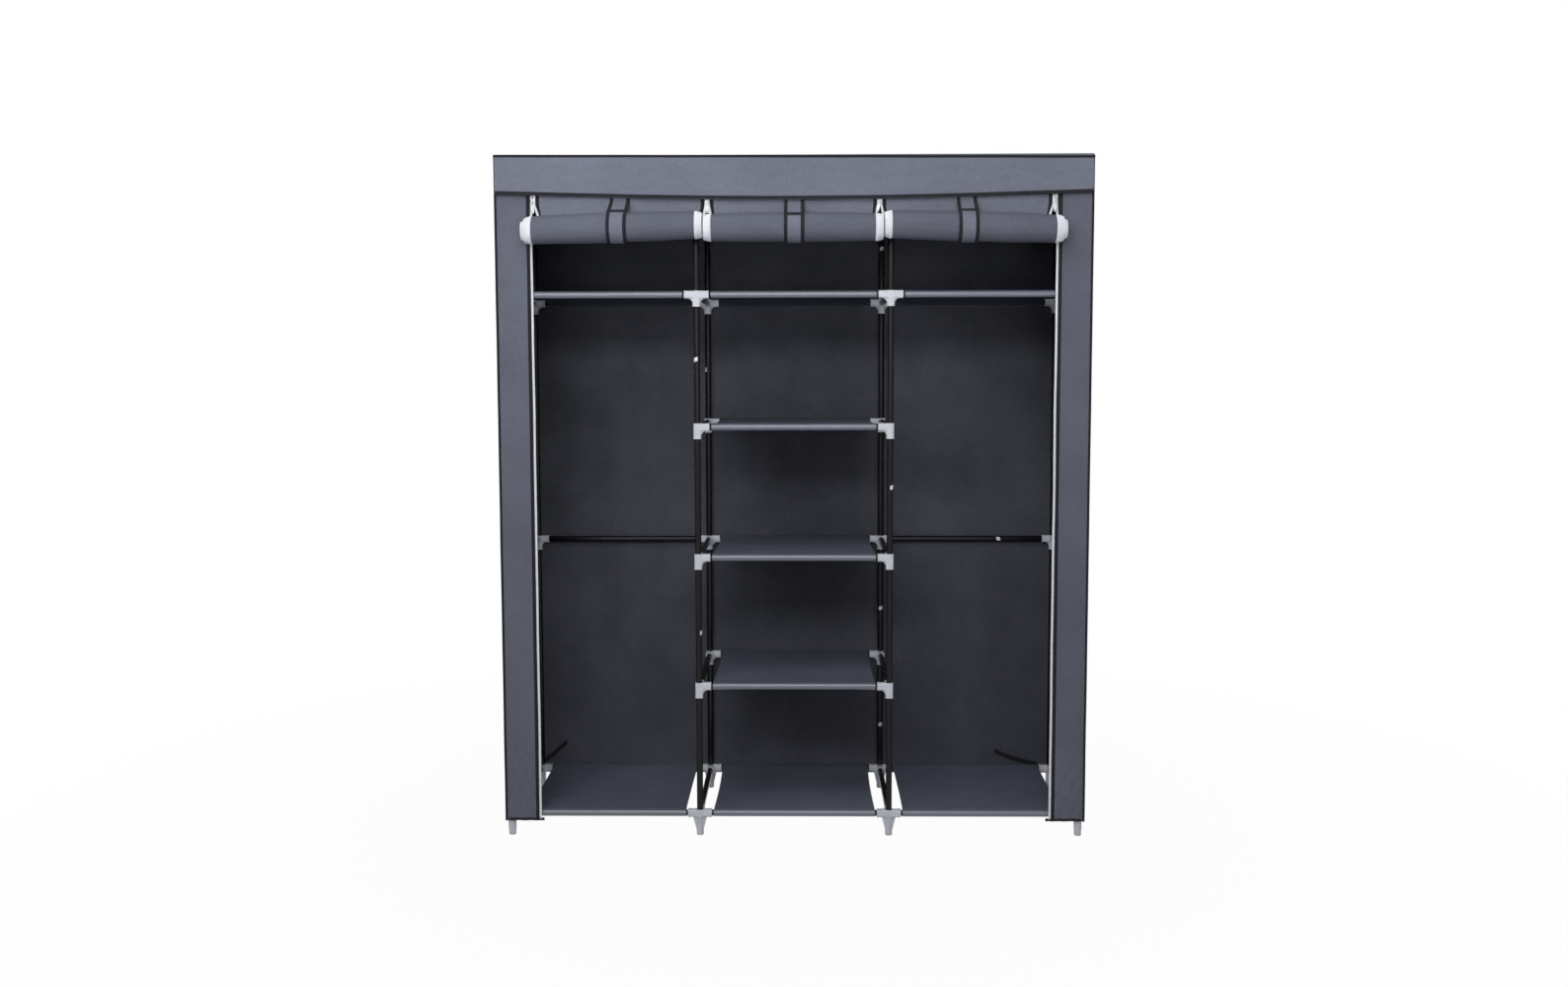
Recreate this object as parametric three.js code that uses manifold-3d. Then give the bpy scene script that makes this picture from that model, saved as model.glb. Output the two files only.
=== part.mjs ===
// Portable fabric wardrobe: a plug-together tube frame under a non-woven cover with three roll-up doors.
// Millimetres, +Z up. The doors face -Y. The origin is the middle of the footprint, on the floor.
import * as THREE from "three";
import { mergeVertices } from "three/addons/utils/BufferGeometryUtils.js";
import Module from "manifold-3d";

const wasm = await Module();
wasm.setup();

// Driving dimensions of the frame.
const bayPitch = 491; // from one column of posts to the next
const postSpacingDeep = 424; // front posts to back posts
const levelPitch = 335; // from one shelf level to the next
const baseLevelHeight = 58; // the lowest rails above the floor
const levelNames = ["base", "low", "middle", "high", "upper", "top"];
const bayNames = ["left", "centre", "right"];
const columnNames = ["left", "centre_left", "centre_right", "right"];

// Tubes and the moulded connectors that take them.
const tubeDiameter = 16;
const socketDiameter = 20; // outside of a connector's sockets
const socketClearance = 0.3; // between a rail and its socket
const socketDepth = 19.5; // how far a rail goes in
const armReach = 31; // from a post's axis to an arm's mouth
const legDrop = 30; // from a level's axis down to the foot of the connector's leg
const webThickness = 8;
const webOverlap = 2; // how far a web runs into the sockets that it braces
const legReturn = 2.5; // plain stretch of socket past the web
const footWidthAtTop = 34;
const footTaperHeight = 34;
const footDiameter = 18.5;
const footChamfer = 2;

// Cloth.
const clothThickness = 1.2;
const touch = 0.3; // gap kept between touching pieces
const sleeveWall = 1;
const sleeveMargin = 5; // bare tube between a connector and the sleeve beside it
const coverClearance = 0.5; // cover to connectors
const frontClearance = 3; // front panels stand off the connectors, because the zip heads pass there
const hemHeight = 41; // the cover's lower edge above the floor
const hemBand = 11;
const hemThickness = 2;
const pipingDiameter = 5;
const valanceDrop = 101;
const valanceSag = 8; // how much lower its edge hangs in the middle
const valanceLean = 8; // how far its edge stands forward of its seam
const valanceBand = 11;
const valanceBandThickness = 2;
const valanceStandOff = 4.5; // seam in front of the door panels
const valanceSteps = 8;

// Zips: their lines, the chain halves and the heads.
const outerZipInset = 82.5; // from the outer posts' axes
const innerZipInset = 29.5; // from the inner posts' axes, towards the middle
const zipSlot = 5.6; // between two panels that the zip joins
const chainWidth = 2;
const chainThickness = 2.6;
const headAboveRoll = 71; // middle of each zip head above the roll's axis when the doors are rolled
const headLength = 15;
const headWidth = 10;
const headWaist = 7;
const headPlate = 1.6;
const headGap = 0.4; // between a head's plates and the chain
const headWeb = 1;
const archLength = 9;
const archRise = 5.2;
const archBar = 1.4;
const archWidth = 1.8;
const pullLength = 27;
const pullWidth = 8;
const pullThickness = 1.2;
const eyeGap = 1.7; // a loose eye, so that a pull can hang askew
const eyeLength = 6.2;
const pullHole = 3.4;
const pullBar = 1.8;
const crookedPullTurn = 0.28; // the centre right pull hangs askew, in radians

// Rolled doors and the straps that hold them.
const rollDiameter = 77;
const rollBelowTop = 176; // axis of a roll below the top rails
const rollPitch = 3.05; // from one layer to the next
const rollTurns = 11;
const stepsPerTurn = 11;
const sideRollInset = 7; // outermost layer of a side roll, inside the outer zip
const sideRollReach = 22; // its innermost layer, outside that zip
const sideRollGap = 28; // outermost layer of a side roll, from the inner zip
const sideRollTipGap = 10; // its innermost layer, from that zip
const centreRollInset = 13; // the centre roll's outermost layer, inside its zips
const centreRollReach = 7; // its innermost layer, outside them
const strapShift = 5; // a side strap, outwards from the middle of its door
const strapWidth = 48;
const strapAboveRoll = 97; // a strap's seam above the roll's axis
const strapHang = 24; // straight down behind the valance before the strap leans out
const strapSteps = 16;

// Round pieces have this many sides.
const tubeSides = 10;
const sleeveSteps = 5; // to a half turn of a sleeve
const cutOverrun = 1;

const front = -postSpacingDeep / 2;
const back = postSpacingDeep / 2;
const tubeRadius = tubeDiameter / 2;
const socketRadius = socketDiameter / 2;
const columnX = columnNames.map((name, i) => (i - (columnNames.length - 1) / 2) * bayPitch);
const levelZ = levelNames.map((name, i) => baseLevelHeight + i * levelPitch);
const lastColumn = columnNames.length - 1;
const topLevel = levelNames.length - 1;
const upperLevel = topLevel - 1;
const tiedLevel = levelNames.indexOf("middle"); // where the back rails tie the outer columns in
const allBays = bayNames.map((name, i) => i);
const [leftBay, centreBay, rightBay] = allBays;

// Places of the cover, worked out from the frame.
const outerZipOffset = columnX[lastColumn] - outerZipInset;
const innerZipOffset = bayPitch / 2 - innerZipInset;
const roofUnderside = levelZ[topLevel] + socketRadius + coverClearance;
const roofTop = roofUnderside + clothThickness;
const sideInside = columnX[lastColumn] + socketRadius + coverClearance;
const sideOutside = sideInside + clothThickness;
const backInside = back + socketRadius + coverClearance;
const backOutside = backInside + clothThickness;
const panelBack = front - socketRadius - frontClearance; // back face of the front panels
const panelFront = panelBack - clothThickness;
const valanceSeam = panelFront - valanceStandOff;
const panelTop = roofUnderside - touch;
const rollRadius = rollDiameter / 2;
const rollAxisY = panelBack - rollRadius;
const rollHeight = levelZ[topLevel] - rollBelowTop;
const headHeight = rollHeight + headAboveRoll;
const strapSeamHeight = rollHeight + strapAboveRoll;

// The wardrobe's own middle, front to back, with its doors rolled up.
const strapClearance = touch + clothThickness;
const foremost = rollAxisY - rollRadius - strapClearance;
const middleY = (foremost + backOutside) / 2;

function material(name, color, roughness, metalness) {
  return new THREE.MeshStandardMaterial({ name, color, roughness, metalness });
}

const steel = material("black_tube", 0x17181a, 0.35, 0.6);
const cloth = material("grey_cloth", 0x70727e, 0.95, 0);
const silver = material("zip_metal", 0xc9cacc, 0.3, 0.9);

const wardrobe = new THREE.Group();
wardrobe.name = "wardrobe";
wardrobe.position.y = -middleY;

function add(name, geometry, material) {
  const mesh = new THREE.Mesh(geometry, material);
  mesh.name = name;
  wardrobe.add(mesh);
  return mesh;
}

// A closed three.js geometry as a solid that can be joined and cut.
function solid(geometry) {
  const bare = geometry.clone();
  bare.deleteAttribute("normal");
  bare.deleteAttribute("uv");
  const merged = mergeVertices(bare, 1e-4);
  const vertProperties = new Float32Array(merged.attributes.position.array);
  const triVerts = new Uint32Array(merged.index.array);
  return new wasm.Manifold(new wasm.Mesh({ numProp: 3, vertProperties, triVerts }));
}

function geometryOf(body) {
  const mesh = body.getMesh();
  const geometry = new THREE.BufferGeometry();
  geometry.setAttribute("position", new THREE.BufferAttribute(new Float32Array(mesh.vertProperties), 3));
  geometry.setIndex(Array.from(mesh.triVerts));
  geometry.computeVertexNormals();
  return geometry;
}

function union(bodies) {
  return bodies.reduce((whole, body) => whole.add(body));
}

// A round bar from one point to another.
function bar(from, to, radius, sides = tubeSides) {
  const start = new THREE.Vector3(...from);
  const run = new THREE.Vector3(...to).sub(start);
  const geometry = new THREE.CylinderGeometry(radius, radius, run.length(), sides, 1);
  const alongY = new THREE.Vector3(0, 1, 0);
  geometry.applyQuaternion(new THREE.Quaternion().setFromUnitVectors(alongY, run.clone().normalize()));
  const middle = start.addScaledVector(run, 1 / 2);
  return geometry.translate(middle.x, middle.y, middle.z);
}

// An outline drawn in two of the part's axes and run along the third.
function extrude(shape, length, plane, origin, curveSegments = 6) {
  const geometry = new THREE.ExtrudeGeometry(shape, { depth: length, bevelEnabled: false, curveSegments });
  const x = new THREE.Vector3(1, 0, 0);
  const y = new THREE.Vector3(0, 1, 0);
  const z = new THREE.Vector3(0, 0, 1);
  const frames = { YZ: [y, z, x], XY: [x, y, z], XZ: [x, z, y.clone().negate()] };
  const matrix = new THREE.Matrix4().makeBasis(...frames[plane]).setPosition(...origin);
  return geometry.applyMatrix4(matrix);
}

function rectangle(x0, y0, x1, y1) {
  const shape = new THREE.Shape();
  shape.moveTo(x0, y0);
  shape.lineTo(x1, y0);
  shape.lineTo(x1, y1);
  shape.lineTo(x0, y1);
  shape.closePath();
  return shape;
}

function box(low, high) {
  const size = high.map((value, i) => value - low[i]);
  const middle = high.map((value, i) => (value + low[i]) / 2);
  return new THREE.BoxGeometry(...size).translate(...middle);
}

// The web that braces an arm of a connector against its leg: an elbow with a hollow curve.
function armWeb(side) {
  const inner = side * (socketRadius - webOverlap);
  const reach = side * (armReach - 2 * legReturn);
  const shape = new THREE.Shape();
  shape.moveTo(inner, -socketRadius + webOverlap);
  shape.lineTo(reach, -socketRadius + webOverlap);
  shape.lineTo(reach, -socketRadius);
  const hollow = socketRadius + webOverlap;
  shape.quadraticCurveTo(side * hollow, -hollow, side * socketRadius, -legDrop + legReturn);
  shape.lineTo(inner, -legDrop + legReturn);
  shape.closePath();
  return shape;
}

// The foot under a base connector: a round peg with a web that tapers down to it.
function footWeb(topWidth) {
  const top = -socketRadius + webOverlap;
  const low = -socketRadius - footTaperHeight;
  const wide = topWidth / 2;
  const slim = footDiameter / 2;
  const shape = new THREE.Shape();
  shape.moveTo(-slim, low);
  shape.lineTo(slim, low);
  shape.lineTo(wide, -socketRadius);
  shape.lineTo(wide, top);
  shape.lineTo(-wide, top);
  shape.lineTo(-wide, -socketRadius);
  shape.closePath();
  return shape;
}

function footPeg(x, y) {
  const radius = footDiameter / 2;
  const profile = [
    new THREE.Vector2(0, 0),
    new THREE.Vector2(radius - footChamfer, 0),
    new THREE.Vector2(radius, footChamfer),
    new THREE.Vector2(radius, baseLevelHeight),
    new THREE.Vector2(0, baseLevelHeight),
  ];
  const peg = new THREE.LatheGeometry(profile, tubeSides);
  peg.rotateX(Math.PI / 2);
  return peg.translate(x, y, 0);
}

function isOuter(column) {
  return column === 0 || column === lastColumn;
}

// Which way the arms of the connector at a post and level point along X.
function armSides(column, level, deep) {
  const sides = [];
  const outer = isOuter(column);
  const everywhere = level === 0 || level >= upperLevel;
  const toCentre = columnX[column] < 0 ? 1 : -1;
  if (everywhere || !outer) sides.push(toCentre);
  if (!outer && everywhere) sides.push(-toCentre);
  if (level === tiedLevel && deep === back) sides.push(outer ? toCentre : -toCentre);
  return sides;
}

function hasConnector(column, level) {
  return !isOuter(column) || level === 0 || level === tiedLevel || level >= upperLevel;
}

// One connector, with its sockets for the rails bored out.
function connector(column, level, deep) {
  const x = columnX[column];
  const z = levelZ[level];
  const inward = deep === front ? 1 : -1;
  const rise = [x, deep, z + socketRadius];
  const drop = [x, deep, level === 0 ? z - socketRadius : z - legDrop];
  const parts = [solid(bar(rise, drop, socketRadius))];
  parts.push(solid(bar([x, deep, z], [x, deep + inward * armReach, z], socketRadius)));
  const webAt = [x, deep + webThickness / 2, z];
  if (level === 0) {
    parts.push(solid(footPeg(x, deep)));
    const topWidth = isOuter(column) ? socketDiameter : footWidthAtTop;
    parts.push(solid(extrude(footWeb(topWidth), webThickness, "XZ", webAt)));
  }
  const sides = armSides(column, level, deep);
  for (const side of sides) {
    parts.push(solid(bar([x, deep, z], [x + side * armReach, deep, z], socketRadius)));
    if (level > 0) parts.push(solid(extrude(armWeb(side), webThickness, "XZ", webAt, 3)));
  }
  return { whole: union(parts), sides };
}

// A side frame: two posts, the bars between them and every connector on them, pushed together for good.
function sideFrame(column) {
  const x = columnX[column];
  const pieces = [];
  const sockets = [];
  for (const deep of [front, back]) {
    pieces.push(solid(bar([x, deep, levelZ[0]], [x, deep, levelZ[topLevel]], tubeRadius)));
  }
  levelZ.forEach((z, level) => {
    if (!hasConnector(column, level)) return;
    pieces.push(solid(bar([x, front, z], [x, back, z], tubeRadius)));
    for (const deep of [front, back]) {
      const { whole, sides } = connector(column, level, deep);
      pieces.push(whole);
      for (const side of sides) {
        const mouth = x + side * (armReach + cutOverrun);
        const bottom = x + side * (armReach - socketDepth);
        sockets.push(solid(bar([bottom, deep, z], [mouth, deep, z], tubeRadius + socketClearance)));
      }
    }
  });
  return union(pieces).subtract(union(sockets));
}

columnNames.forEach((name, column) => {
  add(`side_frame_${name}`, geometryOf(sideFrame(column)), steel);
});

// Rails across the bays, each plugged into a socket at both ends.
function railsAt(level) {
  const centre = [[centreBay, front], [centreBay, back]];
  if (level === tiedLevel) return [...centre, [leftBay, back], [rightBay, back]];
  if (level > 0 && level < upperLevel) return centre;
  return allBays.flatMap((bay) => [[bay, front], [bay, back]]);
}

const railInset = armReach - socketDepth + touch;
levelNames.forEach((levelName, level) => {
  for (const [bay, deep] of railsAt(level)) {
    const start = [columnX[bay] + railInset, deep, levelZ[level]];
    const end = [columnX[bay + 1] - railInset, deep, levelZ[level]];
    const place = deep === front ? "front" : "back";
    add(`rail_${levelName}_${bayNames[bay]}_${place}`, bar(start, end, tubeRadius), steel);
  }
});

// A shelf: a sheet with a sleeve along its front and its back edge, threaded on two rails.
function shelfOutline() {
  const bore = (tubeRadius + touch) / Math.cos(Math.PI / (2 * sleeveSteps)); // its flats clear the rail
  const outer = bore + sleeveWall;
  const shape = new THREE.Shape();
  shape.moveTo(front, outer);
  shape.absarc(front, 0, outer, Math.PI / 2, Math.PI * 2 + Math.asin(bore / outer), false);
  shape.lineTo(back - outer * Math.cos(Math.asin(bore / outer)), bore);
  shape.absarc(back, 0, outer, Math.PI - Math.asin(bore / outer), Math.PI * 2 + Math.PI / 2, false);
  shape.closePath();
  for (const edge of [front, back]) {
    const hole = new THREE.Path();
    hole.absarc(edge, 0, bore, 0, Math.PI * 2, true);
    shape.holes.push(hole);
  }
  return shape;
}

const shelfInset = armReach + sleeveMargin;
for (let level = 0; level <= upperLevel; level++) {
  const bays = level === 0 || level === upperLevel ? allBays : [centreBay];
  for (const bay of bays) {
    const width = bayPitch - 2 * shelfInset;
    const origin = [columnX[bay] + shelfInset, 0, levelZ[level]];
    const geometry = extrude(shelfOutline(), width, "YZ", origin, sleeveSteps);
    add(`shelf_${levelNames[level]}_${bayNames[bay]}`, geometryOf(solid(geometry)), cloth);
  }
}

// A side of the cover: the side panel, the piped corner and the front border up to its half of the zip.
function sideCover(side) {
  const zip = outerZipOffset + zipSlot / 2;
  const place = (x) => side * x;
  const panels = [
    crossSection(place(sideInside), panelFront, place(sideOutside), backInside - touch),
    crossSection(place(zip), panelFront, place(sideOutside), panelBack),
    chainHalf(place(zip), -side),
  ];
  const run = panelTop - hemHeight;
  const bodies = panels.map((shape) => solid(extrude(shape, run, "XY", [0, 0, hemHeight])));
  const pipeX = place(sideInside + clothThickness / 2);
  const pipeY = (panelFront + panelBack) / 2;
  bodies.push(solid(bar([pipeX, pipeY, hemHeight], [pipeX, pipeY, panelTop], pipingDiameter / 2, 8)));
  const low = [Math.min(place(zip), place(sideOutside)), panelFront - hemThickness / 2, hemHeight];
  const high = [Math.max(place(zip), place(sideOutside)), panelBack, hemHeight + hemBand];
  bodies.push(solid(box(low, high)));
  return union(bodies);
}

function crossSection(x0, y0, x1, y1) {
  return rectangle(Math.min(x0, x1), Math.min(y0, y1), Math.max(x0, x1), Math.max(y0, y1));
}

// Half of a zip's chain, standing proud of both faces of a panel's edge.
function chainHalf(edge, side) {
  const middle = (panelFront + panelBack) / 2;
  const half = chainThickness / 2;
  return crossSection(edge, middle - half, edge + side * chainWidth, middle + half);
}

add("cover_left", geometryOf(sideCover(-1)), cloth);
add("cover_right", geometryOf(sideCover(1)), cloth);
const backLow = [-sideOutside, backInside, hemHeight];
const backHigh = [sideOutside, backOutside, panelTop];
add("cover_back", box(backLow, backHigh), cloth);

// The roof and the valance that hangs from its front edge, with a sagging, bound lower edge.
function roofSection(x, low) {
  const bandTop = low + valanceBand;
  const at = (z) => valanceSeam - (valanceLean * (roofTop - z)) / (roofTop - low);
  return [
    [x, backOutside, roofUnderside],
    [x, backOutside, roofTop],
    [x, valanceSeam - clothThickness, roofTop],
    [x, at(bandTop) - clothThickness, bandTop],
    [x, at(bandTop) - valanceBandThickness, bandTop],
    [x, at(low) - valanceBandThickness, low],
    [x, at(low), low],
    [x, valanceSeam, roofUnderside],
  ];
}

function roofCover() {
  const sections = [];
  for (let i = 0; i <= valanceSteps; i++) {
    const share = (2 * i) / valanceSteps - 1;
    const low = roofTop - valanceDrop - valanceSag * (1 - share * share);
    sections.push(roofSection(share * sideOutside, low));
  }
  return loft(sections.flat(), sections[0].length);
}

// Joins equal rings of points, listed one after another, into a closed skin with flat ends.
function loft(points, ring, cap = flatCap(points.slice(0, ring))) {
  const rings = points.length / ring;
  const index = [];
  for (let r = 0; r + 1 < rings; r++) {
    for (let i = 0; i < ring; i++) {
      const next = (i + 1) % ring;
      const a = r * ring + i;
      const b = r * ring + next;
      index.push(a, b, b + ring, a, b + ring, a + ring);
    }
  }
  const last = (rings - 1) * ring;
  for (const [a, b, c] of cap) {
    index.push(a, c, b);
    index.push(last + a, last + b, last + c);
  }
  const geometry = new THREE.BufferGeometry();
  geometry.setAttribute("position", new THREE.Float32BufferAttribute(points.flat(), 3));
  geometry.setIndex(index);
  if (volumeOf(geometry) < 0) geometry.index.array.reverse();
  return geometry;
}

// Triangles that close a ring whose points all lie at one x.
function flatCap(points) {
  return THREE.ShapeUtils.triangulateShape(points.map(([, y, z]) => new THREE.Vector2(y, z)), []);
}

const fourCornerCap = [[0, 1, 2], [0, 2, 3]];

function volumeOf(geometry) {
  const p = geometry.attributes.position;
  const at = (i) => new THREE.Vector3().fromBufferAttribute(p, geometry.index.array[i]);
  let sum = 0;
  for (let i = 0; i < geometry.index.count; i += 3) sum += at(i).dot(at(i + 1).cross(at(i + 2)));
  return sum;
}

add("cover_roof", roofCover(), cloth);

// The doors: a short flat panel under the roof, the roll below it and the strap that holds the roll up.
const rollOuterEdge = outerZipOffset - sideRollInset;
const rollOuterTip = outerZipOffset + sideRollReach;
const rollInnerEdge = innerZipOffset + sideRollGap;
const rollInnerTip = innerZipOffset + sideRollTipGap;
const centreRollEdge = innerZipOffset - centreRollInset;
const centreRollTip = innerZipOffset + centreRollReach;
const strapOffset = (outerZipOffset + innerZipOffset) / 2 + strapShift;
const doors = [
  {
    name: "left",
    panel: [-outerZipOffset, -innerZipOffset],
    edge: [-rollOuterEdge, -rollInnerEdge],
    tip: [-rollOuterTip, -rollInnerTip],
    strap: -strapOffset,
  },
  {
    name: "centre",
    panel: [-innerZipOffset, innerZipOffset],
    edge: [-centreRollEdge, centreRollEdge],
    tip: [-centreRollTip, centreRollTip],
    strap: 0,
  },
  {
    name: "right",
    panel: [innerZipOffset, outerZipOffset],
    edge: [rollInnerEdge, rollOuterEdge],
    tip: [rollInnerTip, rollOuterTip],
    strap: strapOffset,
  },
];

function doorFlap([x0, x1]) {
  const left = x0 + zipSlot / 2;
  const right = x1 - zipSlot / 2;
  const run = panelTop - rollHeight - touch;
  const shapes = [rectangle(left, panelFront, right, panelBack), chainHalf(left, -1), chainHalf(right, 1)];
  return union(shapes.map((shape) => solid(extrude(shape, run, "XY", [0, 0, rollHeight + touch]))));
}

// The rolled cloth: one sheet wound inwards, each layer reaching further out at the ends than the last.
function doorRoll(edge, tip) {
  const steps = rollTurns * stepsPerTurn;
  const rows = [];
  for (let i = 0; i <= steps; i++) {
    const turns = i / stepsPerTurn;
    const share = i / steps;
    const angle = turns * Math.PI * 2;
    const outer = rollRadius - rollPitch * turns;
    const inner = outer - clothThickness;
    const ends = edge.map((x, side) => x + (tip[side] - x) * share);
    const point = (x, r) => [x, rollAxisY + r * Math.cos(angle), rollHeight - r * Math.sin(angle)];
    rows.push(point(ends[0], outer), point(ends[1], outer), point(ends[1], inner), point(ends[0], inner));
  }
  return loft(rows, 4, fourCornerCap);
}

const layerGap = rollPitch * Math.cos(Math.PI / stepsPerTurn) - clothThickness;
console.log(`least gap between the layers of a rolled door: ${layerGap.toFixed(2)} mm`);

// The strap's line, seen from the side: down from its seam, over the roll's front, under it and up behind.
function strapLine() {
  const radius = rollRadius + touch + clothThickness / 2;
  const seam = new THREE.Vector2(panelFront - touch - clothThickness / 2, strapSeamHeight);
  const bend = new THREE.Vector2(seam.x, strapSeamHeight - strapHang);
  const toBend = bend.clone().sub(new THREE.Vector2(rollAxisY, rollHeight));
  const lean = Math.atan2(toBend.x, toBend.y);
  const start = Math.acos(radius / toBend.length()) - lean; // from straight up, towards the front
  const end = Math.PI * 1.5;
  const points = [seam, bend];
  for (let i = 0; i <= strapSteps; i++) {
    const angle = start + ((end - start) * i) / strapSteps;
    const rim = new THREE.Vector2(-Math.sin(angle), Math.cos(angle)).multiplyScalar(radius);
    points.push(rim.add(new THREE.Vector2(rollAxisY, rollHeight)));
  }
  points.push(new THREE.Vector2(rollAxisY + radius, strapSeamHeight));
  return points;
}

function strapBody(x, width, thickness) {
  const line = strapLine();
  const rows = [];
  line.forEach((point, i) => {
    const before = line[Math.max(i - 1, 0)];
    const after = line[Math.min(i + 1, line.length - 1)];
    const along = after.clone().sub(before).normalize();
    const across = new THREE.Vector2(along.y, -along.x).multiplyScalar(thickness / 2);
    const [y0, z0] = [point.x - across.x, point.y - across.y];
    const [y1, z1] = [point.x + across.x, point.y + across.y];
    const [left, right] = [x - width / 2, x + width / 2];
    rows.push([left, y0, z0], [right, y0, z0], [right, y1, z1], [left, y1, z1]);
  });
  return loft(rows, 4, fourCornerCap);
}

for (const door of doors) {
  add(`door_flap_${door.name}`, geometryOf(doorFlap(door.panel)), cloth);
  add(`door_roll_${door.name}`, doorRoll(door.edge, door.tip), cloth);
  const strap = solid(strapBody(door.strap, strapWidth, clothThickness));
  add(`door_strap_${door.name}`, geometryOf(strap), cloth);
}

// A zip head: two shouldered plates, the web between the chain halves and the arch that carries the pull.
const chainMiddle = (panelFront + panelBack) / 2;
const plateFace = chainMiddle - chainThickness / 2 - headGap; // back face of the front plate
const plateFront = plateFace - headPlate;
const pivotY = plateFront - (archRise - archBar) / 2;

function headPlateOutline() {
  const half = headLength / 2;
  const shape = new THREE.Shape();
  shape.moveTo(-headWaist / 2, -half);
  shape.lineTo(headWaist / 2, -half);
  shape.quadraticCurveTo(headWidth / 2, 0, headWidth / 2, half / 2);
  shape.quadraticCurveTo(headWidth / 2, half, 0, half);
  shape.quadraticCurveTo(-headWidth / 2, half, -headWidth / 2, half / 2);
  shape.quadraticCurveTo(-headWidth / 2, 0, -headWaist / 2, -half);
  return shape;
}

function archOutline() {
  const half = archLength / 2;
  const shape = new THREE.Shape();
  const foot = plateFront + archBar;
  shape.moveTo(foot, -half);
  shape.lineTo(plateFront - archRise + archBar, -half);
  shape.quadraticCurveTo(plateFront - archRise, -half, plateFront - archRise, -half + archBar);
  shape.lineTo(plateFront - archRise, half - archBar);
  shape.quadraticCurveTo(plateFront - archRise, half, plateFront - archRise + archBar, half);
  shape.lineTo(foot, half);
  shape.lineTo(foot, half - archBar);
  shape.lineTo(plateFront - archRise + archBar, half - archBar);
  shape.lineTo(plateFront - archRise + archBar, -half + archBar);
  shape.lineTo(foot, -half + archBar);
  shape.closePath();
  return shape;
}

function zipHead(x) {
  const backPlate = chainMiddle + chainThickness / 2 + headGap;
  const half = headLength / 2;
  const webLow = [x - headWeb / 2, plateFront + headPlate / 2, headHeight - half / 2];
  const webHigh = [x + headWeb / 2, backPlate + headPlate / 2, headHeight + half / 2];
  const bodies = [
    extrude(headPlateOutline(), headPlate, "XZ", [x, plateFace, headHeight], 4),
    extrude(headPlateOutline(), headPlate, "XZ", [x, backPlate + headPlate, headHeight], 4),
    box(webLow, webHigh),
    extrude(archOutline(), archWidth, "YZ", [x - archWidth / 2, 0, headHeight], 3),
  ];
  return union(bodies.map(solid));
}

function pullOutline() {
  const half = pullWidth / 2;
  const eyeHalf = archWidth / 2 + eyeGap;
  const top = pullBar / 2;
  const low = -pullLength;
  const shape = new THREE.Shape();
  shape.moveTo(half - pullBar / 2, top);
  shape.lineTo(-half + pullBar / 2, top);
  shape.quadraticCurveTo(-half, top, -half, top - pullBar / 2);
  shape.lineTo(-half, low + half);
  shape.quadraticCurveTo(-half, low, 0, low);
  shape.quadraticCurveTo(half, low, half, low + half);
  shape.lineTo(half, top - pullBar / 2);
  shape.quadraticCurveTo(half, top, half - pullBar / 2, top);
  const eye = new THREE.Path();
  eye.moveTo(-eyeHalf, -top);
  eye.lineTo(eyeHalf, -top);
  eye.lineTo(eyeHalf, -eyeLength);
  eye.lineTo(-eyeHalf, -eyeLength);
  eye.closePath();
  const hole = new THREE.Path();
  hole.absarc(0, low + half, pullHole / 2, 0, Math.PI * 2, true);
  shape.holes.push(eye, hole);
  return shape;
}

// A pull hangs with the bar of its eye on the arch's lower arm.
function zipPull(x, turn) {
  const armTop = headHeight - archLength / 2 + archBar;
  const barBelow = pullBar / 2 / Math.cos(turn) + (archWidth / 2) * Math.tan(turn);
  const geometry = extrude(pullOutline(), pullThickness, "XZ", [0, pullThickness / 2, 0], 3);
  return geometry.rotateY(turn).translate(x, pivotY, armTop + touch + barBelow);
}

const zips = [
  { name: "left", x: -outerZipOffset, turn: 0 },
  { name: "centre_left", x: -innerZipOffset, turn: 0 },
  { name: "centre_right", x: innerZipOffset, turn: crookedPullTurn },
  { name: "right", x: outerZipOffset, turn: 0 },
];
for (const zip of zips) {
  add(`zip_head_${zip.name}`, geometryOf(zipHead(zip.x)), silver);
  add(`zip_pull_${zip.name}`, geometryOf(solid(zipPull(zip.x, zip.turn))), silver);
}

export default wardrobe;
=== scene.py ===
"""The finished look of a portable fabric wardrobe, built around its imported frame.

Metres, +Z up. The doors face -Y. Every piece stands where the frame's own piece stands.
"""

import math

import bmesh
import bpy
from bpy.props import FloatProperty, FloatVectorProperty, PointerProperty
from mathutils import Matrix, Vector, noise


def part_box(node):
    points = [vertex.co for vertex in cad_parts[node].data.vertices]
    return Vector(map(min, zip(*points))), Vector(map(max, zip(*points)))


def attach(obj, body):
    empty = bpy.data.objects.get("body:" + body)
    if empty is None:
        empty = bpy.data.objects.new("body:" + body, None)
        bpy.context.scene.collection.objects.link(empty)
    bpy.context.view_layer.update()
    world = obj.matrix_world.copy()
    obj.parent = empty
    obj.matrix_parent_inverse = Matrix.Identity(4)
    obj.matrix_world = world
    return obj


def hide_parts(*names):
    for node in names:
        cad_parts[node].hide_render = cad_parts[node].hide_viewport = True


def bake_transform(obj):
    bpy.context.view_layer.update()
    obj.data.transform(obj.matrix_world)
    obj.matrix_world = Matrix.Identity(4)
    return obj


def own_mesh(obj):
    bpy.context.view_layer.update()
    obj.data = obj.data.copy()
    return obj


bl_info = {
    "name": "Portable Fabric Wardrobe",
    "version": (1, 0, 0),
    "blender": (4, 5, 0),
    "location": "View3D > Sidebar > Wardrobe",
    "description": "Tubes, connectors, cloth, zips and straps of a portable fabric wardrobe",
    "category": "Add Mesh",
}

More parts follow.
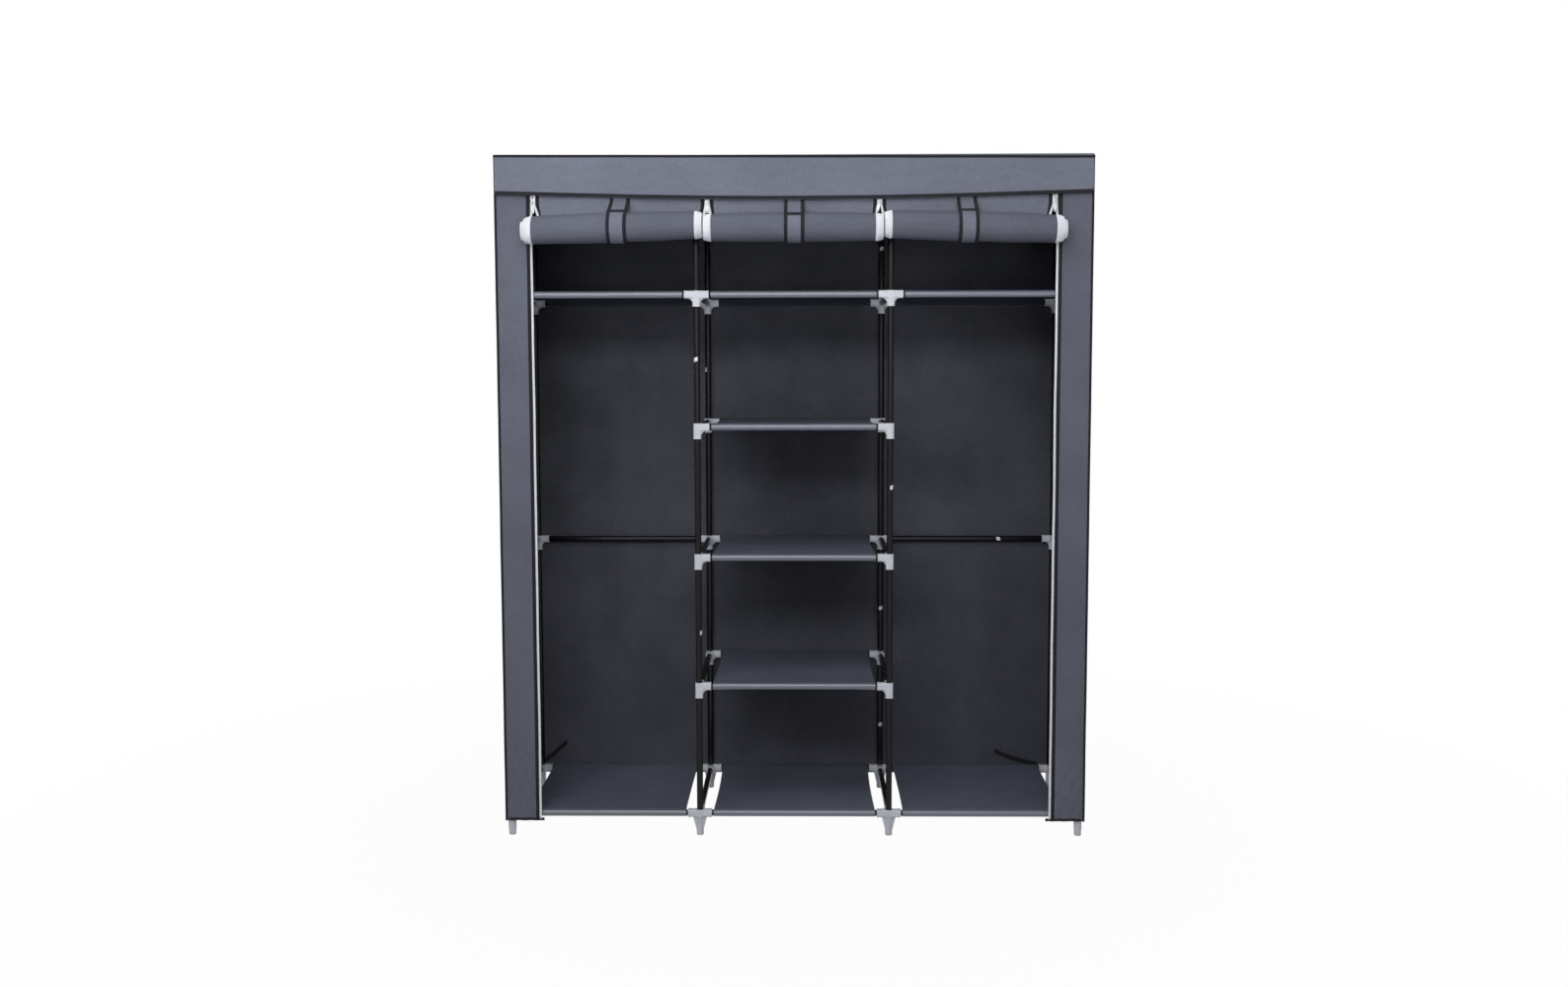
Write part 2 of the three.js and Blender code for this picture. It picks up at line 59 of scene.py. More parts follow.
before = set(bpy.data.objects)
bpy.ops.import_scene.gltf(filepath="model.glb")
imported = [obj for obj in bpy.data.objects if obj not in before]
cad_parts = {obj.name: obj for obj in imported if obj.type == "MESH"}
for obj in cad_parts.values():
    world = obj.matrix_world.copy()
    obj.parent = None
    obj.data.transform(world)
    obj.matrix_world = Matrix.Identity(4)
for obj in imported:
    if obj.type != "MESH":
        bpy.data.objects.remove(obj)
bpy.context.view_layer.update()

BAYS = ["left", "centre", "right"]
COLUMNS = ["left", "centre_left", "centre_right", "right"]
LEVELS = ["base", "low", "middle", "high", "upper", "top"]
SIDES = ((-1, "left"), (1, "right"))
BASE, MIDDLE, UPPER, TOP = 0, 2, 4, 5


def middle(node, axis):
    low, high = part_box(node)
    return (low[axis] + high[axis]) / 2


def ends(node):
    low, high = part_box(node)
    return low[0], high[0]


# Places that the frame gives.
FRONT_Y = middle("rail_base_left_front", 1)
BACK_Y = middle("rail_base_left_back", 1)
BAY_X = [middle(f"rail_base_{bay}_front", 0) for bay in BAYS]
PITCH = BAY_X[1] - BAY_X[0]
COLUMN_X = [BAY_X[0] + PITCH * (i - 1 / 2) for i in range(len(COLUMNS))]
LEVEL_Z = [middle(f"rail_{level}_centre_front", 2) for level in LEVELS]
PANEL_Y = middle("door_flap_centre", 1)
PANEL_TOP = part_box("door_flap_centre")[1][2]
HEM_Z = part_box("cover_back")[0][2]
BACK_PANEL_Y = middle("cover_back", 1)
SIDE_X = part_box("cover_back")[1][0]
ROOF_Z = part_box("cover_roof")[1][2]
ZIP_X = {column: middle(f"zip_head_{column}", 0) for column in COLUMNS}
HEAD_Z = middle("zip_head_left", 2)
FLAP_X = {bay: ends(f"door_flap_{bay}") for bay in BAYS}
ROLL_X = {bay: ends(f"door_roll_{bay}") for bay in BAYS}
STRAP_X = {bay: middle(f"door_strap_{bay}", 0) for bay in BAYS}

# The moulded connectors.
BORE_CLEARANCE = 0.0003
SOCKET_DEPTH = 0.0195
WEB_THICKNESS = 0.011
WEB_OVERLAP = 0.002
WEB_REACH = 0.0225
SOCKET_CORNER = 0.0042
RIM_WIDTH = 0.0022
RIM_PROUD = 0.0004
FOOT_TOP_WIDTH = 0.036
FOOT_TAPER = 0.034
FOOT_RADIUS = 0.00925
BODY_DEEPER = 0.0004
WEB_INSIDE = 0.98
FOOT_ROUND = 0.002
GROOVES = 6
GROOVE_HEIGHT = 0.009
GROOVE_RADIUS = 0.0011
TUBE_DEPTH = 0.012
HOLLOW_PROFILE = 0.086
SOFT_EDGE = 0.0006
SAME_POINT = 1e-6

# Cloth, its bindings and the zips.
CLOTH = 0.0009
CELL = 0.01
SLEEVE_GAP = 0.0003
SLEEVE_TAIL = 0.016
SLEEVE_SHARE = 0.6
# The rolled doors: the cloth darkened by this share as painted shade.
ROLL_SHADE_SHARE = 0.74
# The side covers and their front borders: the cloth darkened by this share as painted shade.
SIDE_SHADE_SHARE = 0.76
# The shelves' undersides: the shelf colour darkened further by this share as painted shade.
UNDERSIDE_SHADE_SHARE = 0.4
PIPING_RADIUS = 0.0031
PIPING_SWAY = 0.0006
HEM_BINDING = 0.0075
VALANCE_DROP = 0.0982
VALANCE_SAG = 0.0150
SAG_POWER = 1.2
EDGE_DROP = 0.006
EDGE_SLANT = 0.0046
EDGE_REACH = 0.0106
ROOF_ROWS = 60
ROOF_CROWD = 1.6
PANEL_TUCK = 0.0006
VALANCE_LEAN = 0.008
ZIP_CLEAR = 0.06
VALANCE_BINDING = 0.0088
VALANCE_SEAM_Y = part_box("cover_roof")[0][1] + VALANCE_LEAN
BINDING_THICKNESS = 0.0022
BINDING_SEAMS = (0.15, 0.85)
VALANCE_WAVE = 0.0026
VALANCE_SWELL = 0.0009
EDGE_WAVE = 0.0010
STITCH_PITCH = 0.0042
STITCH_LENGTH = 0.003
STITCH_RADIUS = 0.0003
ZIP_HALF_GAP = 0.0004
HEAD_HALF = 0.0075
SPREAD_HEIGHT = 0.026
OUTER_SPREAD = 0.009
INNER_SPREAD = 0.005
CHAIN_WIDTH = 0.0060
TOOTH_SHARE = 0.5
CHAIN_THICKNESS = 0.0024
TOOTH_PITCH = 0.0024
CORE_WIDTH = 0.0042
CORE_THICKNESS = 0.0018
TAPE_WIDTH = 0.0085
TAPE_THICKNESS = 0.0007
TAPE_SHOWN = 1.1
ZIP_RELAX = {"left": 0.0018, "right": 0.0036}
RELAX_LENGTH = 0.07
CHAIN_SWAY = 0.0008
ZIP_FOOT = 0.004
BORDER_TAPE = 0.0095
TAPE_LAP = 0.003

# The rolled doors and their straps.
ROLL_RADIUS = 0.037
ROLL_Z = 1.5605
ROLL_Y = PANEL_Y - 0.0385
ROLL_TURNS = 11
ROLL_STEPS = 40
ROLL_WIND = 1.45
ROLL_SLIM = 0.09
RING_WIDTH = 0.0074
RING_JOIN = 0.24
OUTER_TIP = 0.028
INNER_TIP = 0.0185
CENTRE_TIP = 0.0195
# How far each turn's edge stands back from the roll's end, as shares of the tip.
OUTER_RINGS = [1.0, 0.7, 0.42, 0.36, 0.3, 0.0]
INNER_RINGS = [1.0, 0.48, 0.0]
OUTER_END = (OUTER_TIP, OUTER_RINGS)
INNER_END = (INNER_TIP, INNER_RINGS)
ROLL_ENDS = {
    "left": (OUTER_END, INNER_END),
    "centre": ((CENTRE_TIP, INNER_RINGS), (CENTRE_TIP, INNER_RINGS)),
    "right": (INNER_END, OUTER_END),
}
SIDE_ROLL_RISE = 0.0065
TWIST = 0.0011
STRAP_WIDTH = 0.050
STRAP_BINDING = 0.009
STRAP_SEAM_Z = 1.654
STRAP_HANG = 0.024
STRAP_THICKNESS = 0.0012
STRAP_SHIFT = {"left": 0.0034, "centre": 0.0023, "right": -0.008}
TAB_LEAN = {"left": 0.0034, "centre": 0.0, "right": 0.002}
TAB_LOW = 1.59
BAR_Z = {"left": 1.5965, "centre": 1.5905, "right": 1.5965}
BAR_WIDTH = 0.0115
BAR_PROUD = 0.0008
STRAP_STEPS = 80
STRAP_CLEAR = 0.0014
STRAP_FRONT = 0.0035
STRAP_END = math.pi * 1.45


def length_property(name, description, default):
    return FloatProperty(name=name, description=description, default=default, unit="LENGTH")


def colour_property(name, description, default):
    return FloatVectorProperty(
        name=name, description=description, subtype="COLOR", size=3, default=default, min=0, max=1
    )


class WardrobeSizes(bpy.types.PropertyGroup):
    """Sizes that a user would change."""

    tube_radius: length_property("Tube radius", "Outer radius of the steel tubes", 0.008)
    tube_wall: length_property("Tube wall", "Thickness of a tube's wall", 0.0006)
    socket_radius: length_property("Socket radius", "Outer radius of a connector's sockets", 0.0097)
    arm_reach: length_property("Arm reach", "From a post's axis to the mouth of an arm", 0.031)
    leg_drop: length_property("Leg drop", "From a level's axis down to the end of a leg", 0.030)
    shelf_sag: length_property("Shelf sag", "How far an empty shelf hangs in its middle", 0.004)
    roof_sag: length_property("Roof sag", "How far the roof hangs between the bars", 0.005)
    ripple: length_property("Ripple", "Height of the soft folds in hanging cloth", 0.0022)


class WardrobeColours(bpy.types.PropertyGroup):
    """Colours of the finishes."""

    cloth: colour_property("Cloth", "Non-woven cloth seen from outside", (0.172, 0.182, 0.232))
    # The cover's inner side is the same cloth as its outside, darkened here as painted shade for the inside
    # of the wardrobe.
    shaded_inside: colour_property("Shaded inside", "The inner side of the cover", (0.082, 0.085, 0.104))
    # The shelves' cloth: the cover's cloth darkened as painted shade for the shelves inside the wardrobe.
    shelf: colour_property("Shelf", "Cloth of the shelves", (0.118, 0.131, 0.172))
    binding: colour_property("Binding", "Woven tape along the edges", (0.018, 0.017, 0.023))
    tube: colour_property("Tube", "Paint of the steel tubes", (0.005, 0.005, 0.006))
    connector: colour_property("Connector", "Moulded plastic of the connectors", (0.62, 0.64, 0.70))
    zip: colour_property("Zip", "Plastic chain of the zips", (0.84, 0.86, 0.91))


def deselect():
    for obj in bpy.context.selected_objects:
        obj.select_set(False)


def activate(obj):
    deselect()
    obj.select_set(True)
    bpy.context.view_layer.objects.active = obj


def settle(obj):
    """Puts a piece's place into its mesh, so that its object sits at the origin."""
    activate(obj)
    bpy.ops.object.transform_apply(location=True, rotation=True, scale=True)


def apply_modifiers(obj):
    activate(obj)
    for modifier in list(obj.modifiers):
        bpy.ops.object.modifier_apply(modifier=modifier.name)


def edit(obj, mode="FACE"):
    activate(obj)
    bpy.ops.object.mode_set(mode="EDIT")
    bpy.ops.mesh.select_mode(type=mode)
    bpy.ops.mesh.select_all(action="DESELECT")
    return bmesh.from_edit_mesh(obj.data)


def select(mesh, elements):
    for element in elements:
        element.select_set(True)
    mesh.select_flush_mode()


def leave_edit(obj):
    bmesh.update_edit_mesh(obj.data)
    bpy.ops.object.mode_set(mode="OBJECT")


def smooth(obj, degrees=38):
    activate(obj)
    bpy.ops.object.shade_smooth_by_angle(angle=math.radians(degrees))


def clamp(value):
    return min(max(value, 0), 1)


def dress(obj, body, slot, *materials):
    """Gives a finished piece its materials and its body. A blended piece has no body. The slot is not used.
    """
    slots = obj.data.materials
    while len(slots) < len(materials):
        slots.append(None)
    for index in range(len(slots)):
        slots[index] = materials[min(index, len(materials) - 1)]
    if body:
        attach(obj, body)
    return obj


def sew(obj, *looks, body="frame"):
    """Dresses a piece of the cover, a shelf or a zip's chain."""
    return dress(obj, body, "grey_cloth", *[finishes()[look] for look in looks])


def object_of(name, mesh):
    obj = bpy.data.objects.new(name, mesh)
    bpy.context.collection.objects.link(obj)
    return obj


def copy_of(template, name, matrix):
    mesh = template.data.copy()
    mesh.transform(matrix)
    return object_of(name, mesh)


def cylinder(start, end, radius, vertices=32):
    start, end = Vector(start), Vector(end)
    run = end - start
    bpy.ops.mesh.primitive_cylinder_add(
        vertices=vertices,
        radius=radius,
        depth=run.length,
        location=(start + end) / 2,
        rotation=run.to_track_quat("Z", "Y").to_euler(),
    )
    obj = bpy.context.object
    settle(obj)
    return obj


def block(low, high):
    low, high = Vector(low), Vector(high)
    bpy.ops.mesh.primitive_cube_add(size=1, location=(low + high) / 2, scale=high - low)
    obj = bpy.context.object
    settle(obj)
    return obj


def combine(base, others, operation):
    for other in others:
        modifier = base.modifiers.new("combine", "BOOLEAN")
        modifier.operation = operation
        modifier.solver = "EXACT"
        modifier.object = other
        apply_modifiers(base)
        bpy.data.objects.remove(other, do_unlink=True)
    return base


def soften(obj, width, segments=2, degrees=40):
    modifier = obj.modifiers.new("soft edges", "BEVEL")
    modifier.width = width
    modifier.segments = segments
    modifier.limit_method = "ANGLE"
    modifier.angle_limit = math.radians(degrees)
    modifier.use_clamp_overlap = True
    apply_modifiers(obj)


def cloth(name, across, along, place, thickness=CLOTH, offset=-1, inner=0):
    """A sheet whose point at shares u and v of its width and length goes to place(u, v)."""
    bpy.ops.mesh.primitive_grid_add(x_subdivisions=across, y_subdivisions=along, size=1)
    obj = bpy.context.object
    obj.name = name
    for vertex in obj.data.vertices:
        vertex.co = place(vertex.co.x + 1 / 2, vertex.co.y + 1 / 2)
    modifier = obj.modifiers.new("cloth", "SOLIDIFY")
    modifier.thickness = thickness
    modifier.offset = offset
    modifier.use_even_offset = True
    modifier.material_offset = inner
    obj.data.materials.append(None)
    obj.data.materials.append(None)
    apply_modifiers(obj)
    smooth(obj, 60)
    return obj


def rings_mesh(name, rings, closed=False):
    """A skin over rings of points, with flat ends unless it is closed."""
    mesh = bpy.data.meshes.new(name)
    count = len(rings[0])
    points = [point for ring in rings for point in ring]
    faces = []
    spans = len(rings) if closed else len(rings) - 1
    for r in range(spans):
        a, b = r * count, ((r + 1) % len(rings)) * count
        for i in range(count):
            j = (i + 1) % count
            faces.append((a + i, a + j, b + j, b + i))
    if not closed:
        faces.append(tuple(range(count - 1, -1, -1)))
        faces.append(tuple(range((len(rings) - 1) * count, len(rings) * count)))
    mesh.from_pydata(points, [], faces)
    work = bmesh.new()
    work.from_mesh(mesh)
    bmesh.ops.recalc_face_normals(work, faces=work.faces)
    work.to_mesh(mesh)
    work.free()
    return object_of(name, mesh)


def ribbon(name, path, sides, outs, width, thickness):
    """A flat strip with rounded edges along a path. sides and outs are directions or lists of them."""
    sides = sides if isinstance(sides, list) else [sides] * len(path)
    outs = outs if isinstance(outs, list) else [outs] * len(path)
    w, t = width / 2, thickness / 2
    c = t * 0.6
    section = [(w - c, t), (0, t), (c - w, t), (-w, t - c), (-w, c - t), (c - w, -t), (0, -t), (w - c, -t)]
    section += [(w, c - t), (w, t - c)]
    rings = []
    for point, side, out in zip(path, sides, outs):
        side, out = Vector(side).normalized(), Vector(out).normalized()
        rings.append([Vector(point) + side * a + out * b for a, b in section])
    obj = rings_mesh(name, rings)
    smooth(obj)
    return obj


def heading(path, i):
    """The direction of a path at one of its points."""
    return (path[min(i + 1, len(path) - 1)] - path[max(i - 1, 0)]).normalized()


def length_of(path):
    return sum((b - a).length for a, b in zip(path, path[1:]))


def cord(name, path, radius, sides=10):
    """A round cord along a path."""
    path = [Vector(point) for point in path]
    rings = []
    for i, point in enumerate(path):
        along = heading(path, i)
        across = along.orthogonal() if i == 0 else across - along * across.dot(along)
        across.normalize()
        other = along.cross(across)
        turns = [2 * math.pi * k / sides for k in range(sides)]
        rings.append([point + (across * math.cos(a) + other * math.sin(a)) * radius for a in turns])
    obj = rings_mesh(name, rings)
    smooth(obj, 60)
    return obj


def spaced(path, pitch):
    """Points at an even pitch along a path, each with its direction and its share of the path."""
    path = [Vector(point) for point in path]
    lengths = [(b - a).length for a, b in zip(path, path[1:])]
    total = sum(lengths)
    count = max(int(total / pitch), 1)
    result = []
    i, passed = 0, 0
    for k in range(count):
        at = (k + 1 / 2) * total / count
        while i < len(lengths) - 1 and passed + lengths[i] < at:
            passed += lengths[i]
            i += 1
        along = (path[i + 1] - path[i]).normalized()
        result.append((path[i] + along * (at - passed), along, i))
    return result


def scatter(name, unit, places):
    """Many copies of one small shape in one mesh. A place is a point and three scaled directions."""
    unit_points, unit_faces = unit
    points, faces = [], []
    for origin, x, y, z in places:
        start = len(points)
        points += [origin + x * a + y * b + z * c for a, b, c in unit_points]
        faces += [tuple(start + i for i in face) for face in unit_faces]
    mesh = bpy.data.meshes.new(name)
    mesh.from_pydata(points, [], faces)
    for polygon in mesh.polygons:
        polygon.use_smooth = True
    return object_of(name, mesh)


def spindle(section, shares):
    """A unit bar along X whose section is scaled by a share at each station, closed at both ends."""
    points, faces = [], []
    sides = len(section)
    for x, share in shares:
        points += [(x, y * share, z * share) for y, z in section]
    for r in range(len(shares) - 1):
        a = r * sides
        for i in range(sides):
            j = (i + 1) % sides
            faces.append((a + i, a + j, a + sides + j, a + sides + i)[::-1])
    faces.append(tuple(range(sides)))
    last = (len(shares) - 1) * sides
    faces.append(tuple(range(last + sides - 1, last - 1, -1)))
    return points, faces


ROUND = [(1, 0), (0, 1), (-1, 0), (0, -1)]
PILLOW = [(1, 0.5), (0.6, 1), (-0.6, 1), (-1, 0.5), (-1, -0.5), (-0.6, -1), (0.6, -1), (1, -0.5)]
STITCH = spindle(ROUND, [(-1, 0.4), (-0.6, 1), (0.6, 1), (1, 0.4)])
TOOTH = spindle(PILLOW, [(-1, 0.6), (-0.75, 1), (0.75, 1), (1, 0.6)])


def stitches(name, path, out):
    """A row of thread stitches that lies on a path."""
    places = []
    for point, along, i in spaced(path, STITCH_PITCH):
        normal = Vector(out[i]) if isinstance(out, list) else Vector(out)
        normal.normalize()
        across = along.cross(normal)
        places.append(
            (point, along * STITCH_LENGTH / 2, across * STITCH_RADIUS, normal * STITCH_RADIUS)
        )
    return sew(scatter(name, STITCH, places), "thread")


def chain(name, path, sides, outs, body="frame", width=CHAIN_WIDTH):
    """One half of a zip's chain: teeth side by side along a path."""
    places = []
    for point, along, i in spaced(path, TOOTH_PITCH):
        side = Vector(sides[i]) if isinstance(sides, list) else Vector(sides)
        out = Vector(outs[i]) if isinstance(outs, list) else Vector(outs)
        if side.cross(along).dot(out) > 0:
            along = -along
        places.append(
            (point, side * width / 2, along * TOOTH_PITCH * TOOTH_SHARE, out * CHAIN_THICKNESS / 2)
        )
    return sew(scatter(name, TOOTH, places), "zip", body=body)


def ripple(x, y, z, seed, scale=1.0):
    """Soft folds of hanging cloth, from -1 to 1."""
    slow = noise.noise(Vector((x * 3.1, y * 3.1, z * 1.7)) * scale + Vector((seed, 0, 0)))
    quick = noise.noise(Vector((x * 9.0, y * 9.0, z * 4.0)) * scale + Vector((0, seed, 0)))
    return 0.75 * slow + 0.25 * quick


def crease(value, pitch, width):
    """1 on a fold line, falling to 0 beside it. Lines lie a pitch apart."""
    gap = abs((value / pitch + 1 / 2) % 1 - 1 / 2) * pitch
    return math.exp(-((gap / width) ** 2))


# Node groups that more than one finish uses.
def new_group(name, inputs, outputs):
    """An empty node group. A socket's kind follows from its default, or from its name on the way out."""
    kinds = {3: "NodeSocketVector", 4: "NodeSocketColor"}
    group = bpy.data.node_groups.new(name, "ShaderNodeTree")
    for label, default in inputs.items():
        kind = kinds[len(default)] if isinstance(default, tuple) else "NodeSocketFloat"
        socket = group.interface.new_socket(label, in_out="INPUT", socket_type=kind)
        socket.default_value = default
    for label in outputs:
        kind = "NodeSocketColor" if label == "Color" else "NodeSocketFloat"
        group.interface.new_socket(label, in_out="OUTPUT", socket_type=kind)
    return group, group.nodes.new("NodeGroupInput"), group.nodes.new("NodeGroupOutput")


def node(tree, kind, inputs=None, **settings):
    made = tree.nodes.new(kind)
    for key, value in settings.items():
        setattr(made, key, value)
    for key, value in (inputs or {}).items():
        if isinstance(value, bpy.types.NodeSocket):
            tree.links.new(value, made.inputs[key])
        else:
            made.inputs[key].default_value = value
    return made


def ramp(tree, value, low, high, to_low=0.0, to_high=1.0):
    return node(
        tree,
        "ShaderNodeMapRange",
        {"Value": value, "From Min": low, "From Max": high, "To Min": to_low, "To Max": to_high},
    ).outputs["Result"]


def maths(tree, operation, a, b=0.5):
    return node(tree, "ShaderNodeMath", {0: a, 1: b}, operation=operation).outputs[0]


def mixed(tree, factor, a, b, blend="MIX"):
    made = node(tree, "ShaderNodeMix", data_type="RGBA", blend_type=blend)
    for key, value in ((0, factor), (6, a), (7, b)):
        if isinstance(value, bpy.types.NodeSocket):
            tree.links.new(value, made.inputs[key])
        else:
            made.inputs[key].default_value = value
    return made.outputs[2]


def total(tree, first, *others):
    for other in others:
        first = maths(tree, "ADD", first, other)
    return first


def noise_value(tree, vector, scale, detail, rough=0.5):
    """The value of a noise texture."""
    inputs = {"Vector": vector, "Scale": scale, "Detail": detail, "Roughness": rough}
    return node(tree, "ShaderNodeTexNoise", inputs).outputs["Fac"]


def cell_distance(tree, vector, scale, randomness):
    """The distance from the middle of a cell of a cell texture."""
    inputs = {"Vector": vector, "Scale": scale, "Randomness": randomness}
    return node(tree, "ShaderNodeTexVoronoi", inputs).outputs["Distance"]


def tinted(tree, colour, light):
    """A colour made lighter or darker by a value."""
    grey = node(tree, "ShaderNodeCombineColor", {0: light, 1: light, 2: light})
    return mixed(tree, 1.0, colour, grey.outputs[0], "MULTIPLY")


def cloth_group():
    """Pressed fibres: bonded dots, fine fibres and soft clouds of colour."""
    group, entry, leave = new_group(
        "Non-woven cloth",
        {
            "Vector": (0, 0, 0),
            "Color": (0.2, 0.2, 0.25, 1),
            "Cloud": 0.12,
            "Wash": 0.05,
            "Dots Per Metre": 620.0,
        },
        ["Color", "Roughness", "Height"],
    )
    vector = entry.outputs["Vector"]
    clouds = noise_value(group, vector, 7.0, 4.0, 0.6)
    fibre = noise_value(group, vector, 900.0, 3.0, 0.7)
    mottle = noise_value(group, vector, 120.0, 2.0)
    patches = noise_value(group, vector, 2.4, 2.0, 0.45)
    dot = ramp(group, cell_distance(group, vector, entry.outputs["Dots Per Metre"], 0.15), 0.18, 0.42)
    swing = ramp(group, clouds, 0.3, 0.7, -1.0, 1.0)
    drift = ramp(group, patches, 0.35, 0.65, -1.0, 1.0)
    light = total(
        group,
        maths(group, "MULTIPLY", swing, entry.outputs["Cloud"]),
        maths(group, "MULTIPLY", drift, entry.outputs["Wash"]),
        ramp(group, fibre, 0.3, 0.7, -0.07, 0.07),
        ramp(group, mottle, 0.3, 0.7, -0.05, 0.05),
        ramp(group, dot, 0.0, 1.0, -0.10, 0.03),
        1.0,
    )
    group.links.new(tinted(group, entry.outputs["Color"], light), leave.inputs["Color"])
    group.links.new(ramp(group, fibre, 0.3, 0.7, 0.72, 0.92), leave.inputs["Roughness"])
    height = total(group, maths(group, "MULTIPLY", dot, 0.5), maths(group, "MULTIPLY", fibre, 0.6))
    group.links.new(height, leave.inputs["Height"])
    return group


def grain_group():
    """Fine unevenness of paint and moulded plastic, with dust on faces that look up."""
    group, entry, leave = new_group(
        "Grain and dust",
        {
            "Vector": (0, 0, 0),
            "Color": (0.5, 0.5, 0.5, 1),
            "Dust Color": (0.3, 0.3, 0.3, 1),
            "Dust": 0.1,
            "Roughness": 0.4,
            "Grain Scale": 900.0,
        },
        ["Color", "Roughness", "Height"],
    )
    vector = entry.outputs["Vector"]
    grain = noise_value(group, vector, entry.outputs["Grain Scale"], 3.0)
    patches = noise_value(group, vector, 45.0, 5.0, 0.7)
    normal = node(group, "ShaderNodeNewGeometry").outputs["Normal"]
    up = ramp(group, node(group, "ShaderNodeSeparateXYZ", {0: normal}).outputs["Z"], 0.2, 1.0)
    settled = maths(group, "MULTIPLY", up, ramp(group, patches, 0.4, 0.65))
    dust = maths(group, "MULTIPLY", settled, entry.outputs["Dust"])
    base = tinted(group, entry.outputs["Color"], ramp(group, patches, 0.3, 0.7, 0.93, 1.05))
    group.links.new(mixed(group, dust, base, entry.outputs["Dust Color"]), leave.inputs["Color"])
    uneven = ramp(group, patches, 0.3, 0.7, -0.05, 0.08)
    rough = total(group, entry.outputs["Roughness"], uneven, maths(group, "MULTIPLY", dust, 0.3))
    group.links.new(rough, leave.inputs["Roughness"])
    group.links.new(grain, leave.inputs["Height"])
    return group


def tape_group():
    """Woven tape: close ribs crossed by a fine thread."""
    group, entry, leave = new_group(
        "Woven tape",
        {"Vector": (0, 0, 0), "Color": (0.02, 0.02, 0.02, 1), "Threads Per Metre": 900.0},
        ["Color", "Height"],
    )
    vector = entry.outputs["Vector"]
    threads = cell_distance(group, vector, entry.outputs["Threads Per Metre"], 0.1)
    fuzz = noise_value(group, vector, 400.0, 4.0)
    thread = ramp(group, threads, 0.1, 0.6, 1.0, 0.0)
    light = total(group, ramp(group, thread, 0, 1, 0.7, 1.15), ramp(group, fuzz, 0.3, 0.7, -0.15, 0.25))
    group.links.new(tinted(group, entry.outputs["Color"], light), leave.inputs["Color"])
    group.links.new(total(group, thread, fuzz), leave.inputs["Height"])
    return group


GROUPS = {}
FINISHES = {}


def group_named(name):
    makers = {"cloth": cloth_group, "grain": grain_group, "tape": tape_group}
    if name not in GROUPS:
        GROUPS[name] = makers[name]()
    return GROUPS[name]


def finish_material(name, group_name, group_inputs, shader, bump, distance, rough=True):
    """A principled finish whose colour, roughness and bump come from one of the shared groups."""
    material = bpy.data.materials.new(name)
    material.use_nodes = True
    tree = material.node_tree
    principled = tree.nodes["Principled BSDF"]
    place = node(tree, "ShaderNodeTexCoord").outputs["Object"]
    group = node(tree, "ShaderNodeGroup", node_tree=group_named(group_name))
    tree.links.new(place, group.inputs["Vector"])
    for key, value in group_inputs.items():
        group.inputs[key].default_value = value
    tree.links.new(group.outputs["Color"], principled.inputs["Base Color"])
    if rough and "Roughness" in group.outputs:
        tree.links.new(group.outputs["Roughness"], principled.inputs["Roughness"])
    inputs = {"Height": group.outputs["Height"], "Strength": bump, "Distance": distance}
    relief = node(tree, "ShaderNodeBump", inputs)
    tree.links.new(relief.outputs["Normal"], principled.inputs["Normal"])
    for key, value in shader.items():
        principled.inputs[key].default_value = value
    return material


